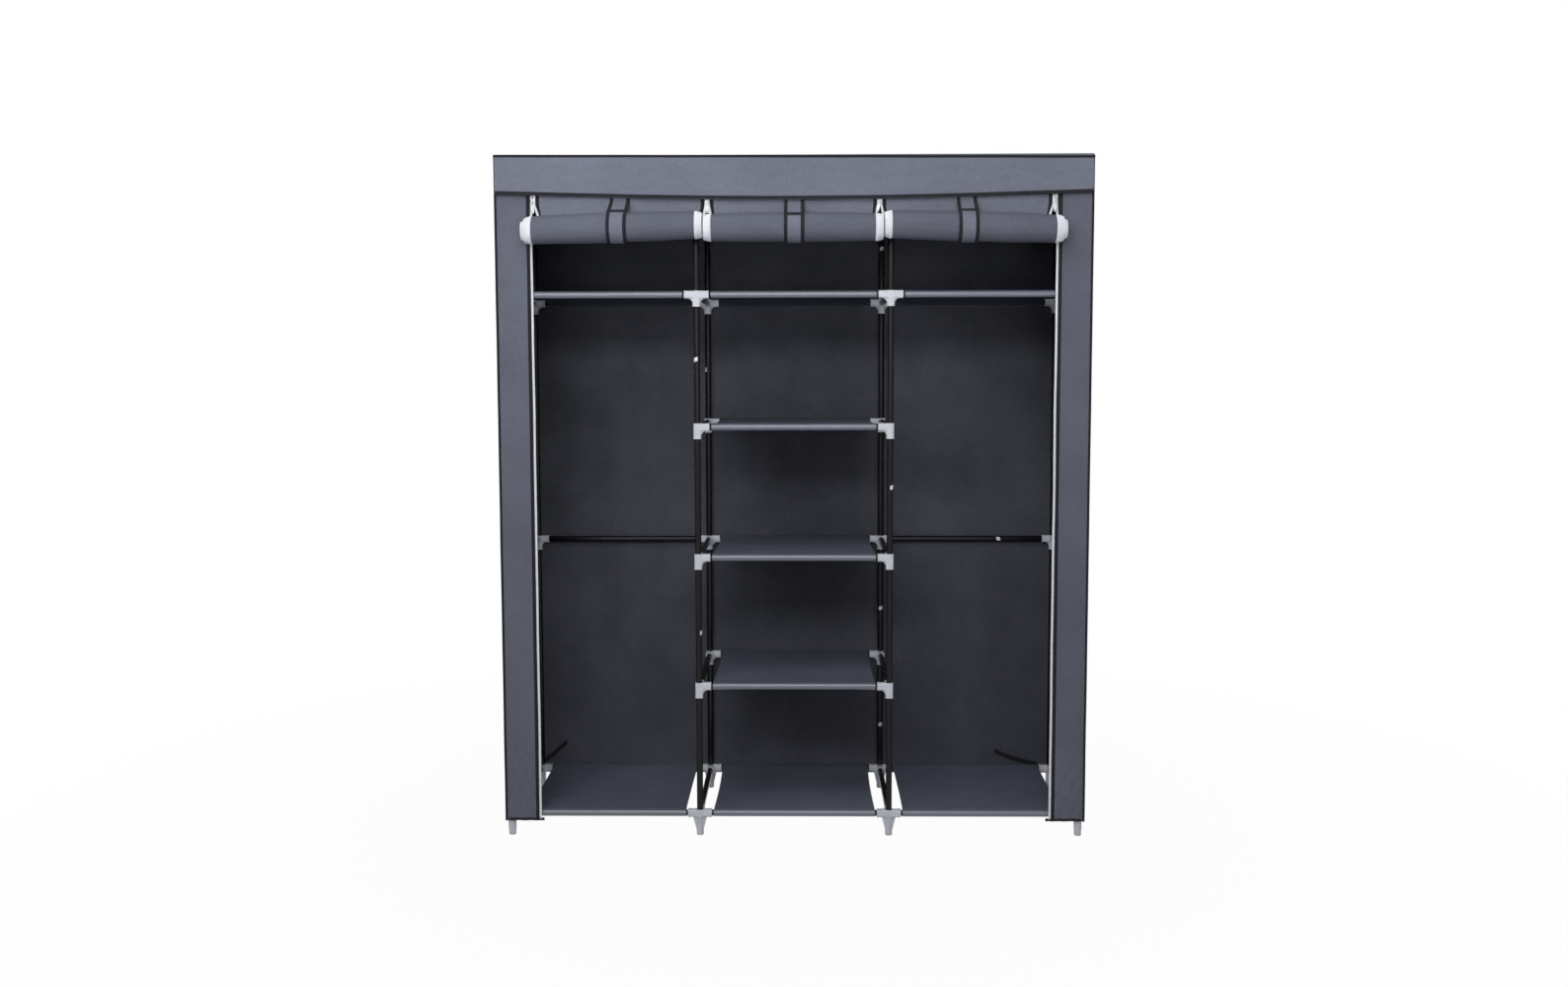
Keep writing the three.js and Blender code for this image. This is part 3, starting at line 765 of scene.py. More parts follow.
def finishes():
    """Every finish of the wardrobe, made once."""
    if FINISHES:
        return FINISHES
    colours = bpy.context.scene.wardrobe_colours
    for name, colour, cloud, wash in (
        ("cloth", colours.cloth, 0.05, 0.05),
        # The inside of the cover: the cloth darkened as painted shade.
        ("shaded_inside", colours.shaded_inside, 0.12, 0.14),
        # The shelves: the cloth darkened as painted shade.
        ("shelf", colours.shelf, 0.08, 0.08),
        # Faces that look down: painted shade under the shelves.
        ("underside_shade", [share * UNDERSIDE_SHADE_SHARE for share in colours.shelf], 0.08, 0.05),
        # The rolled doors: the cloth darkened as painted shade.
        ("door", [share * ROLL_SHADE_SHARE for share in colours.cloth], 0.06, 0.07),
        # The side covers: the cloth darkened as painted shade.
        ("side", [share * SIDE_SHADE_SHARE for share in colours.cloth], 0.06, 0.07),
    ):
        inputs = {"Color": (*colour, 1), "Cloud": cloud, "Wash": wash}
        FINISHES[name] = finish_material(
            f"non_woven_{name}", "cloth", inputs, {"Specular IOR Level": 0.03}, 0.35, 0.0006
        )
    # The sleeve takes the shelf's colour, darkened as painted shade, with a real gloss.
    FINISHES["sleeve"] = finish_material(
        "non_woven_sleeve", "cloth", {"Color": (*colours.shelf, 1), "Cloud": 0.04},
        {"Specular IOR Level": 0.9, "Roughness": 0.3}, 0.05, 0.00002, rough=False
    )
    FINISHES["binding"] = finish_material(
        "woven_binding", "tape", {"Color": (*colours.binding, 1)},
        {"Roughness": 0.85, "Specular IOR Level": 0.25}, 0.5, 0.0004
    )
    FINISHES["thread"] = finish_material(
        "sewing_thread", "tape", {"Color": (0.03, 0.03, 0.035, 1), "Threads Per Metre": 2500.0},
        {"Roughness": 0.6}, 0.3, 0.0002
    )
    milky = {"Subsurface Weight": 0.05, "Subsurface Radius": (0.004, 0.004, 0.004)}
    glossy = {"Specular IOR Level": 0.2}
    metallic = {"Metallic": 0.85}
    paper, nickel = (0.85, 0.85, 0.84), (0.42, 0.42, 0.43)
    moulded = "moulded_plastic"
    for name, title, colour, dust_colour, dust, rough, scale, shader, bump, distance in (
        ("tube", "painted_tube", colours.tube, (0.08, 0.08, 0.09), 0.08, 0.24, 350, glossy, 0.08, 0.0005),
        ("connector", moulded, colours.connector, (0.45, 0.45, 0.47), 0.1, 0.45, 1200, milky, 0.12, 0.0004),
        ("zip", "zip_chain", colours.zip, (0.7, 0.7, 0.72), 0.1, 0.4, 1500, {}, 0.1, 0.0003),
        ("label", "blank_label", paper, (0.6, 0.6, 0.6), 0.1, 0.5, 700, {}, 0.1, 0.0002),
        ("metal", "zip_metal", nickel, (0.3, 0.3, 0.3), 0.2, 0.45, 900, metallic, 0.1, 0.0003),
    ):
        inputs = {"Color": (*colour, 1), "Dust Color": (*dust_colour, 1), "Dust": dust}
        inputs.update({"Roughness": rough, "Grain Scale": scale})
        FINISHES[name] = finish_material(title, "grain", inputs, shader, bump, distance)
    return FINISHES


def is_outer(column):
    return column in (0, len(COLUMNS) - 1)


def has_connector(column, level):
    return not is_outer(column) or level in (BASE, MIDDLE, UPPER, TOP)


def arm_sides(column, level, at_back):
    """Which way along X the arms of a connector point."""
    to_centre = 1 if COLUMN_X[column] < 0 else -1
    everywhere = level in (BASE, UPPER, TOP)
    sides = []
    if everywhere or not is_outer(column):
        sides.append(to_centre)
    if everywhere and not is_outer(column):
        sides.append(-to_centre)
    if level == MIDDLE and at_back:
        sides.append(to_centre if is_outer(column) else -to_centre)
    return sides


def rounded_bar(direction, start, end, half):
    """A bar of rounded square section along one of the axes."""
    direction = Vector(direction)
    wide = Vector([0 if share else half for share in direction])
    ends = (direction * start, direction * end)
    low = Vector([min(a, b) for a, b in zip(*ends)]) - wide
    high = Vector([max(a, b) for a, b in zip(*ends)]) + wide
    bar = block(low, high)
    mesh = edit(bar, "EDGE")
    runs = [(e, e.verts[0].co - e.verts[1].co) for e in mesh.edges]
    select(mesh, [e for e, run in runs if abs(run.normalized().dot(direction)) > 1 / 2])
    bpy.ops.mesh.bevel(offset=SOCKET_CORNER, segments=4, affect="EDGES")
    leave_edit(bar)
    return bar


def socket(direction, reach, sizes):
    """An arm of a connector, with a slightly proud rim at its mouth."""
    half = sizes.socket_radius
    arm = rounded_bar(direction, 0, reach, half)
    return [arm, rounded_bar(direction, reach - RIM_WIDTH, reach, half + RIM_PROUD)]


def gusset(side, sizes):
    """The hollow-edged web between an arm and the leg."""
    inner = sizes.socket_radius - WEB_OVERLAP
    web = block(
        (min(side * inner, side * WEB_REACH), -WEB_THICKNESS / 2, -WEB_REACH),
        (max(side * inner, side * WEB_REACH), WEB_THICKNESS / 2, -inner),
    )
    mesh = edit(web, "EDGE")
    edge = WEB_REACH - SOFT_EDGE
    select(mesh, [e for e in mesh.edges if all(v.co.x * side > edge and v.co.z < -edge for v in e.verts)])
    hollow = WEB_REACH - sizes.socket_radius
    bpy.ops.mesh.bevel(offset=hollow, segments=8, profile=HOLLOW_PROFILE, affect="EDGES")
    leave_edit(web)
    return web


def foot(wide, sizes):
    """The foot under a base connector: a peg with a tapered web on each side of it."""
    top = LEVEL_Z[BASE]
    peg = cylinder((0, 0, -top), (0, 0, 0), FOOT_RADIUS)
    mesh = edit(peg, "FACE")
    select(mesh, [f for f in mesh.faces if f.calc_center_median().z < SOFT_EDGE - top])
    bpy.ops.mesh.bevel(offset=FOOT_ROUND, segments=4, affect="EDGES")
    leave_edit(peg)
    taper_low = -sizes.socket_radius - FOOT_TAPER
    width = FOOT_TOP_WIDTH if wide else 2 * sizes.socket_radius
    web_high = -sizes.socket_radius + WEB_OVERLAP
    web = block((-width / 2, -WEB_THICKNESS / 2, taper_low), (width / 2, WEB_THICKNESS / 2, web_high))
    mesh = edit(web, "FACE")
    select(mesh, [f for f in mesh.faces if f.normal.z < -1 / 2])
    narrow = 2 * FOOT_RADIUS / width * WEB_INSIDE
    bpy.ops.transform.resize(value=(narrow, 1, 1), center_override=(0, 0, taper_low))
    leave_edit(web)
    grooves = []
    for k in range(GROOVES):
        turn = 2 * math.pi * (k + 1 / 2) / GROOVES
        x, y = FOOT_RADIUS * math.cos(turn), FOOT_RADIUS * math.sin(turn)
        grooves.append(cylinder((x, y, -top - SOFT_EDGE), (x, y, GROOVE_HEIGHT - top), GROOVE_RADIUS, 8))
    combine(peg, grooves, "DIFFERENCE")
    return [peg, web]


def connector_template(key, sizes):
    """A connector at the origin, for the front: its bar runs towards +Y."""
    sides, level_kind, wide = key
    parts = []
    reach = sizes.arm_reach
    drop = sizes.socket_radius + BODY_DEEPER if level_kind == "base" else sizes.leg_drop
    rise = sizes.socket_radius
    body = rounded_bar((0, 0, 1), -drop, rise, sizes.socket_radius)
    if level_kind != "base":
        parts.append(rounded_bar((0, 0, 1), -drop, RIM_WIDTH - drop, sizes.socket_radius + RIM_PROUD))
        parts += [gusset(side, sizes) for side in sides]
    else:
        parts += foot(wide, sizes)
    parts += socket((0, 1, 0), reach, sizes)
    for side in sides:
        parts += socket((side, 0, 0), reach, sizes)
    combine(body, parts, "UNION")
    bore = sizes.tube_radius + BORE_CLEARANCE
    over = SOFT_EDGE
    bores = [cylinder((0, reach - SOCKET_DEPTH, 0), (0, reach + over, 0), bore)]
    for side in sides:
        bores.append(cylinder((side * (reach - SOCKET_DEPTH), 0, 0), (side * (reach + over), 0, 0), bore))
    if level_kind != "base":
        bores.append(cylinder((0, 0, -drop - over), (0, 0, -drop + SOCKET_DEPTH), bore))
    if level_kind != "top":
        bores.append(cylinder((0, 0, 0), (0, 0, rise + over), bore))
    combine(body, bores, "DIFFERENCE")
    soften(body, SOFT_EDGE)
    smooth(body, 32)
    return body


class WARDROBE_OT_connectors(bpy.types.Operator):
    """Moulded connectors and feet at every crossing of the tubes"""

    bl_idname = "wardrobe.connectors"
    bl_label = "Connectors"

    def execute(self, context):
        sizes = context.scene.wardrobe_sizes
        templates = {}
        for column, column_name in enumerate(COLUMNS):
            for level, level_name in enumerate(LEVELS):
                if not has_connector(column, level):
                    continue
                for at_back in (False, True):
                    sides = arm_sides(column, level, at_back)
                    turned = -1 if at_back else 1
                    kind = "base" if level == BASE else "top" if level == TOP else "shelf"
                    key = (tuple(sorted(side * turned for side in sides)), kind, not is_outer(column))
                    if key not in templates:
                        templates[key] = connector_template(key, sizes)
                    y = BACK_Y if at_back else FRONT_Y
                    place = Matrix.Translation((COLUMN_X[column], y, LEVEL_Z[level]))
                    if at_back:
                        place = place @ Matrix.Rotation(math.pi, 4, "Z")
                    name = f"connector_{level_name}_{column_name}_{'back' if at_back else 'front'}"
                    piece = copy_of(templates[key], name, place)
                    dress(piece, "frame", "black_tube", finishes()["connector"])
                    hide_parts(f"side_frame_{column_name}")
        for template in templates.values():
            bpy.data.objects.remove(template, do_unlink=True)
        return {"FINISHED"}


def tube_template(length, sizes):
    """A tube that stands on the origin, open at both ends."""
    obj = cylinder((0, 0, 0), (0, 0, length), sizes.tube_radius)
    for end, sign in ((length, 1), (0, -1)):
        mesh = edit(obj, "FACE")
        select(mesh, [f for f in mesh.faces if abs(f.calc_center_median().z - end) < SAME_POINT])
        bpy.ops.mesh.inset(thickness=sizes.tube_wall)
        bpy.ops.mesh.extrude_region_move(TRANSFORM_OT_translate={"value": (0, 0, -sign * TUBE_DEPTH)})
        leave_edit(obj)
    smooth(obj, 40)
    return obj


class WARDROBE_OT_tubes(bpy.types.Operator):
    """Painted steel tubes: posts, bars from front to back, and rails across the bays"""

    bl_idname = "wardrobe.tubes"
    bl_label = "Tubes"

    def execute(self, context):
        sizes = context.scene.wardrobe_sizes
        self.templates = {}
        inset = sizes.arm_reach - SOCKET_DEPTH + BORE_CLEARANCE
        for column, column_name in enumerate(COLUMNS):
            levels = [i for i in range(len(LEVELS)) if has_connector(column, i)]
            x = COLUMN_X[column]
            node_name = f"side_frame_{column_name}"
            for below, above in zip(levels, levels[1:]):
                start = LEVEL_Z[below] + BORE_CLEARANCE
                end = LEVEL_Z[above] - sizes.leg_drop + SOCKET_DEPTH - BORE_CLEARANCE
                for y, place in ((FRONT_Y, "front"), (BACK_Y, "back")):
                    name = f"post_{LEVELS[below]}_{column_name}_{place}"
                    self.lay(name, (x, y, start), (x, y, end), node_name, sizes)
            for level in levels:
                z = LEVEL_Z[level]
                name = f"side_bar_{LEVELS[level]}_{column_name}"
                self.lay(name, (x, FRONT_Y + inset, z), (x, BACK_Y - inset, z), node_name, sizes)
        for node_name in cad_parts:
            if node_name.startswith("rail_"):
                low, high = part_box(node_name)
                y, z = (low[1] + high[1]) / 2, (low[2] + high[2]) / 2
                self.lay(f"{node_name}_tube", (low[0], y, z), (high[0], y, z), node_name, sizes)
        for template in self.templates.values():
            bpy.data.objects.remove(template, do_unlink=True)
        return {"FINISHED"}

    def lay(self, name, start, end, node_name, sizes):
        start, end = Vector(start), Vector(end)
        run = end - start
        key = round(run.length, 5)
        if key not in self.templates:
            self.templates[key] = tube_template(run.length, sizes)
        turn = run.to_track_quat("Z", "Y").to_matrix().to_4x4()
        piece = copy_of(self.templates[key], name, Matrix.Translation(start) @ turn)
        dress(piece, "frame", "black_tube", finishes()["tube"])
        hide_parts(node_name)


# Small blank labels on the posts: column, row, height, and the degrees that each one is turned.
LABEL_PLACES = [
    (1, FRONT_Y, 1.235, -20),
    (1, BACK_Y, 1.21, -62),
    (2, FRONT_Y, 0.909, 35),
    (2, BACK_Y, 0.528, 0),
    (2, BACK_Y, 0.188, 5),
    (1, FRONT_Y, 0.534, 64),
    (2, BACK_Y, 1.549, 0),
]
LABEL_HEIGHT = 0.0105
LABEL_SLANT = 0.0025
LABEL_ARC = math.radians(72)
LABEL_THICKNESS = 0.00025
LABEL_GAP = 0.0001
RAIL_LABEL_X = 0.581


def label(name, origin, axis, facing, sizes):
    """A blank paper label wrapped part of the way round a tube."""
    axis, facing = Vector(axis), Vector(facing).normalized()
    across = axis.cross(facing)

    def place(u, v):
        turn = (u - 1 / 2) * LABEL_ARC
        radius = sizes.tube_radius + LABEL_THICKNESS + LABEL_GAP
        rim = facing * math.cos(turn) + across * math.sin(turn)
        slant = (u - 1 / 2) * LABEL_SLANT
        return Vector(origin) + rim * radius + axis * ((v - 1 / 2) * LABEL_HEIGHT + slant)

    piece = cloth(name, 8, 2, place, LABEL_THICKNESS, -1)
    return sew(piece, "label")


class WARDROBE_OT_labels(bpy.types.Operator):
    """Small blank labels that mark the tubes"""

    bl_idname = "wardrobe.labels"
    bl_label = "Tube labels"

    def execute(self, context):
        sizes = context.scene.wardrobe_sizes
        for i, (column, y, z, degrees) in enumerate(LABEL_PLACES):
            turn = math.radians(degrees)
            facing = (math.sin(turn), -math.cos(turn), 0)
            label(f"label_{i + 1}", (COLUMN_X[column], y, z), (0, 0, 1), facing, sizes)
        label("label_rail", (RAIL_LABEL_X, BACK_Y, LEVEL_Z[MIDDLE]), (1, 0, 0), (0, -1, 0), sizes)
        return {"FINISHED"}


# A sleeve starts with a tail under the shelf, and then winds round its rail.
TAIL_STEPS = 4
TAIL_DIP = 0.002
TAIL_BELOW = 1.6
SLEEVE_STEPS = 14
SLEEVE_START = math.radians(16)
SHELF_SPANS = 34
SHELF_WAVE = 0.0011
SHELF_WAIST = 0.004
SEAM_PLACES = (0.45, 0.8)
SEAM_INSET = 0.003


def shelf_dip(share, sizes):
    """How far an empty shelf hangs at a share of its depth."""
    return sizes.shelf_sag * math.sin(math.pi * share) ** 1.4


def shelf_line(sizes):
    """The line of a shelf's cloth from the side: round the front rail, across, and round the back rail."""
    radius = sizes.tube_radius + SLEEVE_GAP + CLOTH / 2
    line = []
    tail_z = radius - CLOTH * TAIL_BELOW
    for k in range(TAIL_STEPS):
        share = k / TAIL_STEPS
        line.append((FRONT_Y + radius + SLEEVE_TAIL * (1 - share), tail_z - TAIL_DIP * share))
    for k in range(SLEEVE_STEPS + 1):
        turn = -SLEEVE_START - (math.pi * 1.5 - SLEEVE_START) * k / SLEEVE_STEPS
        line.append((FRONT_Y + radius * math.cos(turn), radius * math.sin(turn)))
    mirrored = [(FRONT_Y + BACK_Y - y, z) for y, z in line]
    for k in range(1, SHELF_SPANS):
        share = k / SHELF_SPANS
        line.append((FRONT_Y + (BACK_Y - FRONT_Y) * share, radius - shelf_dip(share, sizes)))
    return line + mirrored[::-1]


class WARDROBE_OT_shelves(bpy.types.Operator):
    """Cloth shelves with a sewn sleeve round the rail at the front and at the back"""

    bl_idname = "wardrobe.shelves"
    bl_label = "Shelves"

    def execute(self, context):
        sizes = context.scene.wardrobe_sizes
        line = shelf_line(sizes)
        last = len(line) - 1
        names = [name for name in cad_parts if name.startswith("shelf_")]
        for seed, name in enumerate(sorted(names)):
            low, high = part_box(name)
            level = name.split("_")[1]
            z0 = LEVEL_Z[LEVELS.index(level)]

            def place(u, v):
                k = round(clamp(v) * last)
                y, z = line[k]
                x = low[0] + (high[0] - low[0]) * u
                depth = (y - FRONT_Y) / (BACK_Y - FRONT_Y)
                loose = math.sin(math.pi * clamp(depth))
                if z < sizes.tube_radius / 2:
                    loose = 0
                wave = SHELF_WAVE * loose * ripple(x, y, 0, seed * 7.3, 2.0)
                waist = SHELF_WAIST * loose * (u - 1 / 2)
                return Vector((x - waist, y, z0 + z + wave))

            piece = cloth(f"{name}_cloth", 40, last, place, CLOTH, 0)
            radius = sizes.tube_radius + SLEEVE_GAP + CLOTH
            # The shelf's top takes its colour darkened as painted shade.
            sew(piece, "shelf", "sleeve", "underside_shade")
            # Faces that look down take the underside colour, darkened as painted shade.
            for polygon in piece.data.polygons:
                y = polygon.center.y
                if min(y - FRONT_Y, BACK_Y - y) < radius * SLEEVE_SHARE:
                    polygon.material_index = 1
                elif polygon.normal.z < 0:
                    polygon.material_index = 2
            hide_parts(name)
            radius = sizes.tube_radius + SLEEVE_GAP
            depth = BACK_Y - FRONT_Y
            rows = []
            for y, sign in ((FRONT_Y, 1), (BACK_Y, -1)):
                for seam in SEAM_PLACES:
                    offset = radius + SLEEVE_TAIL * seam
                    at = y + sign * offset
                    top = z0 + radius + CLOTH - shelf_dip(offset / depth, sizes)
                    path = [(low[0] + SEAM_INSET, at, top), (high[0] - SEAM_INSET, at, top)]
                    rows.append(stitches(f"{name}_stitches_{len(rows) + 1}", path, (0, 0, 1)))
        return {"FINISHED"}


# Slanting folds just above the hem of a border, and how far they stay away from the corner.
HEM_DRAG = 0.0012
DRAG_HEIGHT = 0.25
CORNER_HELD = 0.02
SIDE_DEEP = BACK_PANEL_Y - PANEL_Y


def side_point(side, along, z, sizes):
    """A point of a side cover, at a length along its plan line from the back corner to the zip."""
    wave = ripple(along, side, z, 11 if side < 0 else 23, 1.0)
    if along < SIDE_DEEP:
        loose = math.sin(math.pi * along / SIDE_DEEP)
        x = SIDE_X - CLOTH / 2 + sizes.ripple * loose * (0.6 + wave) * 1.1
        return Vector((side * x, BACK_PANEL_Y - along, z))
    past = along - SIDE_DEEP
    drag = HEM_DRAG * max(0.0, 1 - (z - HEM_Z) / DRAG_HEIGHT) * math.sin((past * 2.2 + z) * 95)
    away = min(1, past / CORNER_HELD)
    y = PANEL_Y - sizes.ripple * 0.5 * away * (0.5 + wave) - drag * away
    return Vector((side * (SIDE_X - CLOTH / 2 - past), y, z))


HEM_TAIL = 0.004
HEM_TURN = 0.006


def border_edge(name):
    """From the zip's line to the cloth of the border beside it."""
    return ZIP_RELAX[name] + CHAIN_WIDTH + BORDER_TAPE


class WARDROBE_OT_side_covers(bpy.types.Operator):
    """The two sides of the cover with their front borders, piping, hems and zip halves"""

    bl_idname = "wardrobe.side_covers"
    bl_label = "Side covers"

    def execute(self, context):
        sizes = context.scene.wardrobe_sizes
        for side, name in SIDES:
            border = SIDE_X - CLOTH / 2 - abs(ZIP_X[name]) - border_edge(name)
            corner_step = round(SIDE_DEEP / CELL)
            across = corner_step + round(border / CELL * 1.6)

            def place(u, v):
                k = (u if side < 0 else 1 - u) * across
                if k <= corner_step:
                    along = SIDE_DEEP * k / corner_step
                else:
                    along = SIDE_DEEP + border * (k - corner_step) / (across - corner_step)
                corner = side_point(side, along, PANEL_TOP, sizes)
                return side_point(side, along, HEM_Z + (cover_top(corner.x, corner.y) - HEM_Z) * v, sizes)

            piece = cloth(f"cover_{name}_cloth", across, 170, place, CLOTH, 0, 1)
            # The outside takes the cloth darkened as painted shade, and the inside takes the darker painted
            # shade of the inside.
            sew(piece, "side", "shaded_inside")
            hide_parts(f"cover_{name}")
            going = [self.corner(name, side), self.hem(name, side, border, sizes)]
            going += self.zip_half(name, side)
        return {"FINISHED"}

    def corner(self, name, side):
        steps = 90
        path = []
        top = edge_z(side * SIDE_X)
        for k in range(steps + 1):
            z = HEM_Z + (top - HEM_Z) * k / steps
            sway = PIPING_SWAY * noise.noise(Vector((side * 5, z * 6, 0)))
            x = SIDE_X + PIPING_RADIUS * 0.1 + sway
            path.append((side * x, PANEL_Y - PIPING_RADIUS * 0.3 + sway, z))
        piece = cord(f"piping_corner_{name}", path, PIPING_RADIUS)
        return sew(piece, "binding")

    def hem(self, name, side, border, sizes):
        path, outs = [], []
        steps = 60
        for k in range(steps + 1):
            along = (SIDE_DEEP + border + border_edge(name) + HEM_TAIL) * k / steps
            path.append(side_point(side, along, HEM_Z + HEM_BINDING / 2, sizes))
            turn = clamp((along - SIDE_DEEP) / HEM_TURN + 1 / 2) * math.pi / 2
            outs.append((side * math.cos(turn), -math.sin(turn), 0))
        piece = ribbon(f"hem_{name}", path, (0, 0, 1), outs, HEM_BINDING, BINDING_THICKNESS)
        return sew(piece, "binding")

    def zip_half(self, name, side):
        zip_x = abs(ZIP_X[name])
        low, high = HEM_Z + ZIP_FOOT, cover_top(side * zip_x, PANEL_Y) - PANEL_TUCK
        steps = 60
        chain_x = zip_x + ZIP_HALF_GAP + CHAIN_WIDTH / 2
        tape_width = BORDER_TAPE + TAPE_LAP + ZIP_RELAX[name]
        tape_x = zip_x + CHAIN_WIDTH + tape_width / 2
        heights = [low + (high - low) * k / steps for k in range(steps + 1)]
        teeth, woven = [], []
        for z in heights:
            open_share = clamp((HEAD_Z - z) / RELAX_LENGTH)
            sway = ZIP_RELAX[name] * open_share + CHAIN_SWAY * noise.noise(Vector((side * 3, z * 5, 1)))
            teeth.append((side * (chain_x + sway), PANEL_Y, z))
            woven.append((side * (tape_x + sway * 0.4), PANEL_Y + TAPE_THICKNESS, z))
        width = tape_width + TAPE_LAP
        tape = ribbon(f"zip_tape_{name}", woven, (side, 0, 0), (0, -1, 0), width, TAPE_THICKNESS)
        sew(tape, "binding")
        links = chain(f"zip_chain_{name}", teeth, (side, 0, 0), (0, -1, 0))
        return [tape, links]


# Folds that the back was packed in: pitch across and up, width and depth.
FOLD_PITCH = (0.247, 0.283)
FOLD_WIDTH = 0.006
FOLD_DEPTH = 0.0009


class WARDROBE_OT_back_cover(bpy.types.Operator):
    """The back of the cover, with the folds that it was packed in"""

    bl_idname = "wardrobe.back_cover"
    bl_label = "Back cover"

    def execute(self, context):
        sizes = context.scene.wardrobe_sizes
        wide = 2 * SIDE_X - CLOTH
        tall = PANEL_TOP - HEM_Z

        def place(u, v):
            x, z = wide * (1 / 2 - u), HEM_Z + tall * v
            loose = min(1, 8 * u, 8 * (1 - u)) * min(1, 6 * v + 0.2, 8 * (1 - v))
            wave = ripple(x, 0, z, 41, 1.1) + 0.5 * ripple(x, 0, z, 7, 2.4)
            fold = crease(x + 0.03 * noise.noise(Vector((z, 0, 0))), FOLD_PITCH[0], FOLD_WIDTH)
            fold += crease(z + 0.02 * noise.noise(Vector((x, 3, 0))), FOLD_PITCH[1], FOLD_WIDTH)
            y = BACK_PANEL_Y + loose * (sizes.ripple * 1.1 * (0.7 + wave) - FOLD_DEPTH * fold)
            return Vector((x, y, z))

        piece = cloth("cover_back_cloth", 150, 170, place, CLOTH, 0, 1)
        # The inner face takes the cloth darkened as painted shade.
        sew(piece, "cloth", "shaded_inside")
        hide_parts("cover_back")
        for side, name in SIDES:
            path = [(side * SIDE_X, BACK_PANEL_Y, HEM_Z + (ROOF_Z - HEM_Z) * k / 40) for k in range(41)]
            pipe = cord(f"piping_back_{name}", path, PIPING_RADIUS)
            sew(pipe, "binding")
        path = [(wide * (k / 60 - 1 / 2), BACK_PANEL_Y, HEM_Z + HEM_BINDING / 2) for k in range(61)]
        hem = ribbon("hem_back", path, (0, 0, 1), (0, 1, 0), HEM_BINDING, BINDING_THICKNESS)
        sew(hem, "binding")
        return {"FINISHED"}


def roof_sag(x, y, sizes):
    """How far the roof hangs at a point, between the bars that carry it."""
    bay = (x - COLUMN_X[0]) / PITCH
    across = abs(math.sin(math.pi * bay))
    deep = (y - FRONT_Y) / (BACK_Y - FRONT_Y)
    along = math.sin(math.pi * clamp(deep))
    return sizes.roof_sag * (across * along) ** 0.8 * (1 + 0.4 * ripple(x, y, 0, 3, 1.5))


def edge_z(x):
    """Height of the roof's front edge, which hangs a little lower on the right."""
    return ROOF_Z - EDGE_DROP - EDGE_SLANT * x


def roof_fall(x, y):
    """How far the roof drops towards its front edge, past the front bar."""
    near = clamp(1 - (y - VALANCE_SEAM_Y) / EDGE_REACH)
    return (ROOF_Z - edge_z(x) - PIPING_RADIUS) * near


def cover_top(x, y):
    """Height at which cloth that stands under the roof ends, just below it."""
    return min(PANEL_TOP, ROOF_Z - roof_fall(x, y) - CLOTH - PANEL_TUCK)


def valance_low(x):
    """Height of the valance's lower edge."""
    share = min(abs(x) / SIDE_X, 1)
    return ROOF_Z - VALANCE_DROP - VALANCE_SAG * (1 - share * share) ** SAG_POWER


def valance_point(x, v):
    """A point of the valance. v runs from its lower edge to its seam."""
    low = valance_low(x)
    z = low + (edge_z(x) + PIPING_RADIUS - low) * v
    past_zip = min(abs(x - zip_x) for zip_x in ZIP_X.values())
    loose = (1 - v) * min(1, (SIDE_X - abs(x)) / ZIP_CLEAR + 0.05) * min(1, (past_zip / ZIP_CLEAR) ** 2)
    wave = VALANCE_WAVE * ripple(x, 0, z, 55, 1.4) + VALANCE_SWELL * math.sin(x * 37)
    y = VALANCE_SEAM_Y - VALANCE_LEAN * 0.47 * (1 - v) - loose * (VALANCE_LEAN * 0.2 + wave)
    return Vector((x, y, z))


